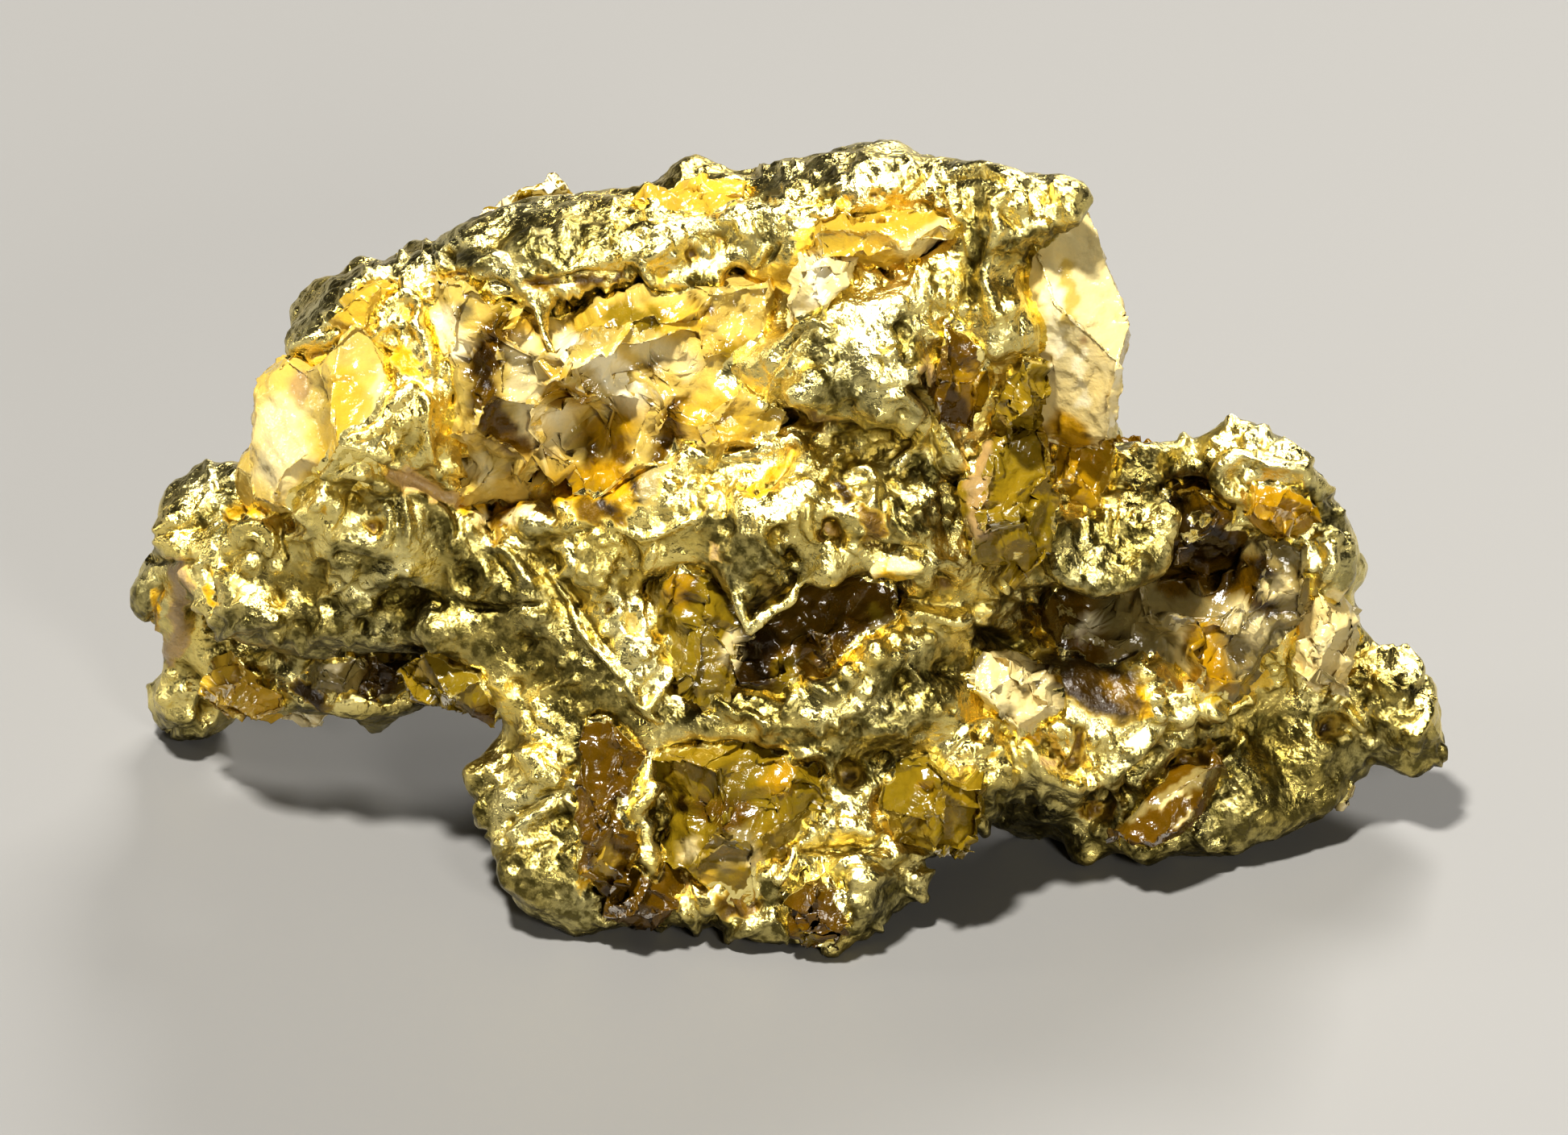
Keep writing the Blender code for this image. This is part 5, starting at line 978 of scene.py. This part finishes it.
def quartz_material(name, absorption, density, haze):
    """Clear quartz, tinted by its tint layer, milky in places and gilt at its edges."""
    n = Nodes(name)
    tint = n.layer("tint")
    clouds = n.range(n.noise(1300.0, 5.0, 0.6), 0.40, 0.66)
    stone = n.mix(n.math("MULTIPLY", clouds, 0.6), tint["Color"], CLOUD, "MULTIPLY")
    frayed = n.math("ADD", n.layer("gilt")["Fac"], n.range(n.noise(1100.0, 5.0, 0.65), 0.3, 0.7, -0.55, 0.55))
    film = n.range(frayed, 0.45, 0.55)
    clear = n.math("SUBTRACT", tint["Alpha"], n.math("MULTIPLY", clouds, haze))
    normal = n.bump(n.noise(1800.0, 4.0, 0.6), 0.00010, 0.35)
    normal = n.bump(n.noise(9000.0, 3.0, 0.6), 0.00003, 0.5, normal)
    surface = n.new("BsdfPrincipled", {
        "Base Color": n.mix(film, stone, GILT), "Metallic": film, "IOR": QUARTZ_IOR,
        "Roughness": n.range(film, 0.0, 1.0, 0.18, 0.24), "Specular IOR Level": 0.4,
        "Transmission Weight": n.math("MULTIPLY", clear, n.math("SUBTRACT", 1.0, film)), "Normal": normal})
    return n.finish(surface, n.new("VolumeAbsorption", {"Color": (*absorption, 1.0), "Density": density}))


def floor_material():
    n = Nodes("pale floor")
    fleck = n.range(n.noise(3000.0, 4.0), 0.3, 0.7, 0.97, 1.0)
    return n.finish(n.new("BsdfPrincipled", {
        "Base Color": (*FLOOR_GREY, 1.0), "Roughness": 0.55, "Normal": n.bump(fleck, 0.0001, 0.1)}))


# ---------------------------------------------------------------- gold

def relief_of(mesh):
    """How far each vertex stands out of its surroundings, in millimetres."""
    points = vertex_data(mesh)
    smooth = averaged(points, mesh_edges(mesh), RELIEF_ROUNDS)
    return ((points - smooth) * vertex_data(mesh, "normal")).sum(1) / MM


def grain(place, size):
    """Fractal noise of that size in millimetres, from about -1 to 1."""
    return noise.fractal(Vector(place) / size, 0.8, 2.1, 4)


def knob(place, size):
    """Round knobs of that size in millimetres, packed side by side: 0.6 on top and -0.42 between them."""
    away = noise.voronoi(Vector(place) / size)[0][0]
    return 0.6 - min(away, 0.8) ** 2 * 1.6


def sculpt(mesh):
    """Presses the strokes into the enlarged skin, makes all of it grainy and blunts its thorns."""
    points = vertex_data(mesh) / UNIT
    edges = mesh_edges(mesh)
    pixels, depth = in_picture(points)
    rise = strokes_rise(pixels, seen_first(pixels, depth), STROKES)
    for i, place in enumerate(points):
        rise[i] += GRAIN_HEIGHT * grain(place, GRAIN_SIZE)
        for size, height in KNOB_SIZES_AND_HEIGHTS:
            rise[i] += height * knob(place, size)
    points += smooth_normals(mesh, 4) * rise[:, None]
    for rounds, most in zip(BLUNTING_ROUNDS, (2 * THORN, THORN)):
        out = points - averaged(points, edges, rounds)
        reach = np.linalg.norm(out, axis=1)
        points -= out * (np.clip(reach - most, 0, None) / np.maximum(reach, 1e-9))[:, None]
    move_vertices(mesh, points)


def sight_tree():
    """Everything solid that the camera may meet, in millimetres."""
    corners, faces = [], []
    for obj in frame["nodes"].values():
        start = len(corners)
        corners += [v.co / MM for v in obj.data.vertices]
        faces += [[start + i for i in face.vertices] for face in obj.data.polygons]
    return BVHTree.FromPolygons(corners, faces)


def sight_line(x, y):
    """The camera's place and the way it looks through a pixel, in millimetres."""
    eye = picture_aim() - SIGHT * CAMERA_DISTANCE
    across = (x - PICTURE_PIXELS[0] / 2) / PIXELS_PER_MM
    up = (PICTURE_PIXELS[1] / 2 - y) / PIXELS_PER_MM
    return eye, (SIGHT * CAMERA_DISTANCE + ACROSS * across + PLANE_UP * up).normalized()


def add_lips(shape):
    """Joins thin free edges to the gold, as rows of small overlapping balls."""
    tree = sight_tree()
    for width, spans, *places in LIPS:
        line = smooth_line(pairs(places), steps=6)
        reach = [tree.ray_cast(*sight_line(*pixel))[3] for pixel in line]
        if None in (reach[0], reach[-1]):
            continue
        for i, (pixel, far) in enumerate(zip(line, reach)):
            if spans or far is None:
                far = reach[0] + (reach[-1] - reach[0]) * (i / (len(line) - 1))
            eye, way = sight_line(*pixel)
            place = Matrix.Translation((eye + way * (far + LIP_SINK)) * UNIT)
            size = width / PIXELS_PER_MM * UNIT
            bmesh.ops.create_icosphere(shape, subdivisions=2, radius=size, matrix=place)


def make_gold(material):
    shape = fused(enlarged_copy("gold_nugget"), MELT_VOXEL, MELT_SMOOTHING)
    add_lips(shape)
    skin = to_object("skin", fused(shape, SKIN_VOXEL, 1))
    sculpt(skin.data)
    thin = skin.modifiers.new("Thin", "DECIMATE")
    thin.ratio = min(1.0, SKIN_TRIANGLES / (2 * len(skin.data.polygons)))
    gold = finished(skin, "gold_nugget_skin", "gold_nugget", "gold", material)

    points = vertex_data(gold.data) / MM
    pixels, depth = in_picture(points)
    in_view = seen_first(pixels, depth, cell=7)
    # Painted shade in the spots where the gold is seen; random tarnish on its hidden side
    painted_shade_and_tarnish = strokes_rise(pixels, in_view, [rib(*row) for row in PAINTED_SHADE_PATCHES])
    for i in np.flatnonzero(~in_view):
        painted_shade_and_tarnish[i] = HIDDEN_PATINA + HIDDEN_PATINA_SWING * grain(points[i], HIDDEN_PATINA_SIZE)
    value_layer(gold.data, "relief", relief_of(gold.data))
    value_layer(gold.data, "shade_and_tarnish", np.clip(painted_shade_and_tarnish, 0, 1))
    colour_layer(gold.data, "stain_shadow_reflection", coloured(pixels, in_view, STAINS_SHADOWS_AND_REFLECTIONS, (*HONEY, 0.0)))
    return gold


# ---------------------------------------------------------------- quartz

def gap_to(tree, points):
    """How far each point is from the gold, all in millimetres."""
    return np.array([tree.find_nearest(Vector(p * MM))[3] for p in points]) / MM


def facet_of(points, ways, middles, spacing):
    """The number of the facet middle that each point belongs to, by its place and the way it faces."""
    nearest, owner = np.full(len(points), np.inf), np.zeros(len(points), int)
    for facet, middle in enumerate(middles):
        gap = ((points - points[middle]) ** 2).sum(1) / spacing**2 + FACING_WEIGHT * (1 - ways @ ways[middle])
        closer = gap < nearest
        nearest[closer], owner[closer] = gap[closer], facet
    return owner


def fractured(mesh, seed, gold_tree, wear, ragged):
    """Shrinks a grown stone back, wears its open middle down and breaks it into tilted facets."""
    points = vertex_data(mesh) / UNIT
    ways = smooth_normals(mesh, 3)
    points -= ways * CLOSING
    points -= ways * (wear * np.clip(gap_to(gold_tree, points) - OPEN_GAP, 0, OPEN_RANGE))[:, None]
    chance = np.random.default_rng(seed)
    for spacing, flatness, slant in FACETS:
        count = max(FEWEST_FACETS, int(len(points) * QUARTZ_VOXEL**2 / spacing**2))
        middles = chance.choice(len(points), count, replace=False)
        owner = facet_of(points, ways, middles, spacing)
        sizes = np.maximum(np.bincount(owner, minlength=count), 1)[:, None]
        centres = np.stack([np.bincount(owner, points[:, k], count) for k in range(3)], 1) / sizes
        facing = np.stack([np.bincount(owner, ways[:, k], count) for k in range(3)], 1)
        facing /= np.maximum(np.linalg.norm(facing, axis=1), 1e-9)[:, None]
        tilt = chance.normal(0, slant * ragged, (count, 3))
        off = points - centres[owner]
        out = (off * (tilt[owner] - flatness * facing[owner])).sum(1)
        points += out[:, None] * facing[owner]
    move_vertices(mesh, points)


def make_quartz(node, slot, material, tint, seed, gold_tree):
    shape = enlarged_copy(node)
    bmesh.ops.dissolve_limit(shape, angle_limit=math.radians(2), verts=shape.verts, edges=shape.edges)
    shape.normal_update()
    for v in shape.verts:
        v.co += v.normal * min(v.calc_shell_factor(), SHARPEST_CORNER) * (QUARTZ_GROWTH + CLOSING) * UNIT
    stone = to_object("stone", fused(shape, QUARTZ_VOXEL, 1))
    free = node in FREE_STANDING
    wear = 0.0 if free else REAR_WEAR if node.startswith("quartz_rear") else WEAR
    fractured(stone.data, seed, gold_tree, wear, 0.5 if free else 1.0)
    piece = finished(stone, node + "_clear", node, slot, material)

    points = vertex_data(piece.data) / MM
    in_view = vertex_data(piece.data, "normal") @ np.array(SIGHT) < TURNED_AWAY
    tints = coloured(in_picture(points)[0], in_view, TINTS, (*tint, 1.0))
    tints[:, 3] = CLARITY - MILKINESS * np.clip(tints[:, 2] - PALE_FROM, 0, PALE_RANGE)
    colour_layer(piece.data, "tint", tints)
    value_layer(piece.data, "gilt", np.clip(1 - gap_to(gold_tree, points) / GILT_REACH, 0, 1))


# ---------------------------------------------------------------- stage

# Each softbox's place and size in metres, and its power in watts
SOFTBOXES = {
    "key softbox": ((-0.06, -0.08, 0.30), (0.03, 0.03), 2.0),
    "front softbox": ((0.10, -0.26, 0.14), (0.05, 0.05), 0.42),
    "back softbox": ((0.08, 0.20, 0.16), (0.14, 0.07), 0.50),
    "left softbox": ((-0.26, 0.02, 0.10), (0.04, 0.08), 0.12),
}
SOFTBOX_AIM = Vector((0.0, 0.0, 0.004))
SOFTBOX_COLOUR = (1.0, 0.97, 0.92)
ROOM_COLOUR = (0.80, 0.78, 0.74, 1.0)
ROOM_LIGHT = 0.02


def make_floor():
    shape = bmesh.new()
    bmesh.ops.create_grid(shape, x_segments=1, y_segments=1, size=1.0)
    floor = to_object("floor", shape)
    floor.data.materials.append(floor_material())


def make_light():
    for name, (place, size, power) in SOFTBOXES.items():
        light = bpy.data.lights.new(name, "AREA")
        light.shape = "RECTANGLE"
        light.size, light.size_y = size
        light.energy = power
        light.color = SOFTBOX_COLOUR
        box = bpy.data.objects.new(name, light)
        bpy.context.scene.collection.objects.link(box)
        box.location = place
        box.rotation_euler = (SOFTBOX_AIM - Vector(place)).to_track_quat("-Z", "Y").to_euler()
    world = bpy.data.worlds.new("studio")
    world.use_nodes = True
    background = world.node_tree.nodes["Background"]
    background.inputs["Color"].default_value = ROOM_COLOUR
    background.inputs["Strength"].default_value = ROOM_LIGHT
    bpy.context.scene.world = world
    bpy.context.scene.view_settings.view_transform = "Standard"
    bpy.context.scene.view_settings.look = "Medium High Contrast"


def make_camera():
    distance = CAMERA_DISTANCE * MM
    camera = bpy.data.cameras.new("camera")
    camera.sensor_width = 36.0
    camera.lens = camera.sensor_width * distance / (PICTURE_PIXELS[0] / PIXELS_PER_MM * MM)
    camera.clip_start = 0.01
    camera.clip_end = 10.0
    viewer = bpy.data.objects.new("camera", camera)
    bpy.context.scene.collection.objects.link(viewer)
    viewer.location = picture_aim() * MM - SIGHT * distance
    viewer.rotation_euler = SIGHT.to_track_quat("-Z", "Y").to_euler()
    bpy.context.scene.camera = viewer


def main():
    slots = {part["node"]: part["material_slot"] for part in frame["record"]["subparts"]}
    quartz = {
        "amber_quartz": quartz_material("amber quartz", (0.93, 0.78, 0.25), 1200.0, 0.2),
        "clear_quartz": quartz_material("clear quartz", (0.95, 0.86, 0.55), 600.0, 0.35),
    }
    gold = make_gold(gold_material())
    faces = [tuple(face.vertices) for face in gold.data.polygons]
    gold_tree = BVHTree.FromPolygons([v.co for v in gold.data.vertices], faces)
    for seed, (node, slot) in enumerate(slots.items()):
        if slot in quartz:
            tint = BODY_TINTS.get(node, REAR_TINTS[seed % len(REAR_TINTS)])
            make_quartz(node, slot, quartz[slot], tint, seed, gold_tree)
    make_floor()
    make_light()
    make_camera()


main()
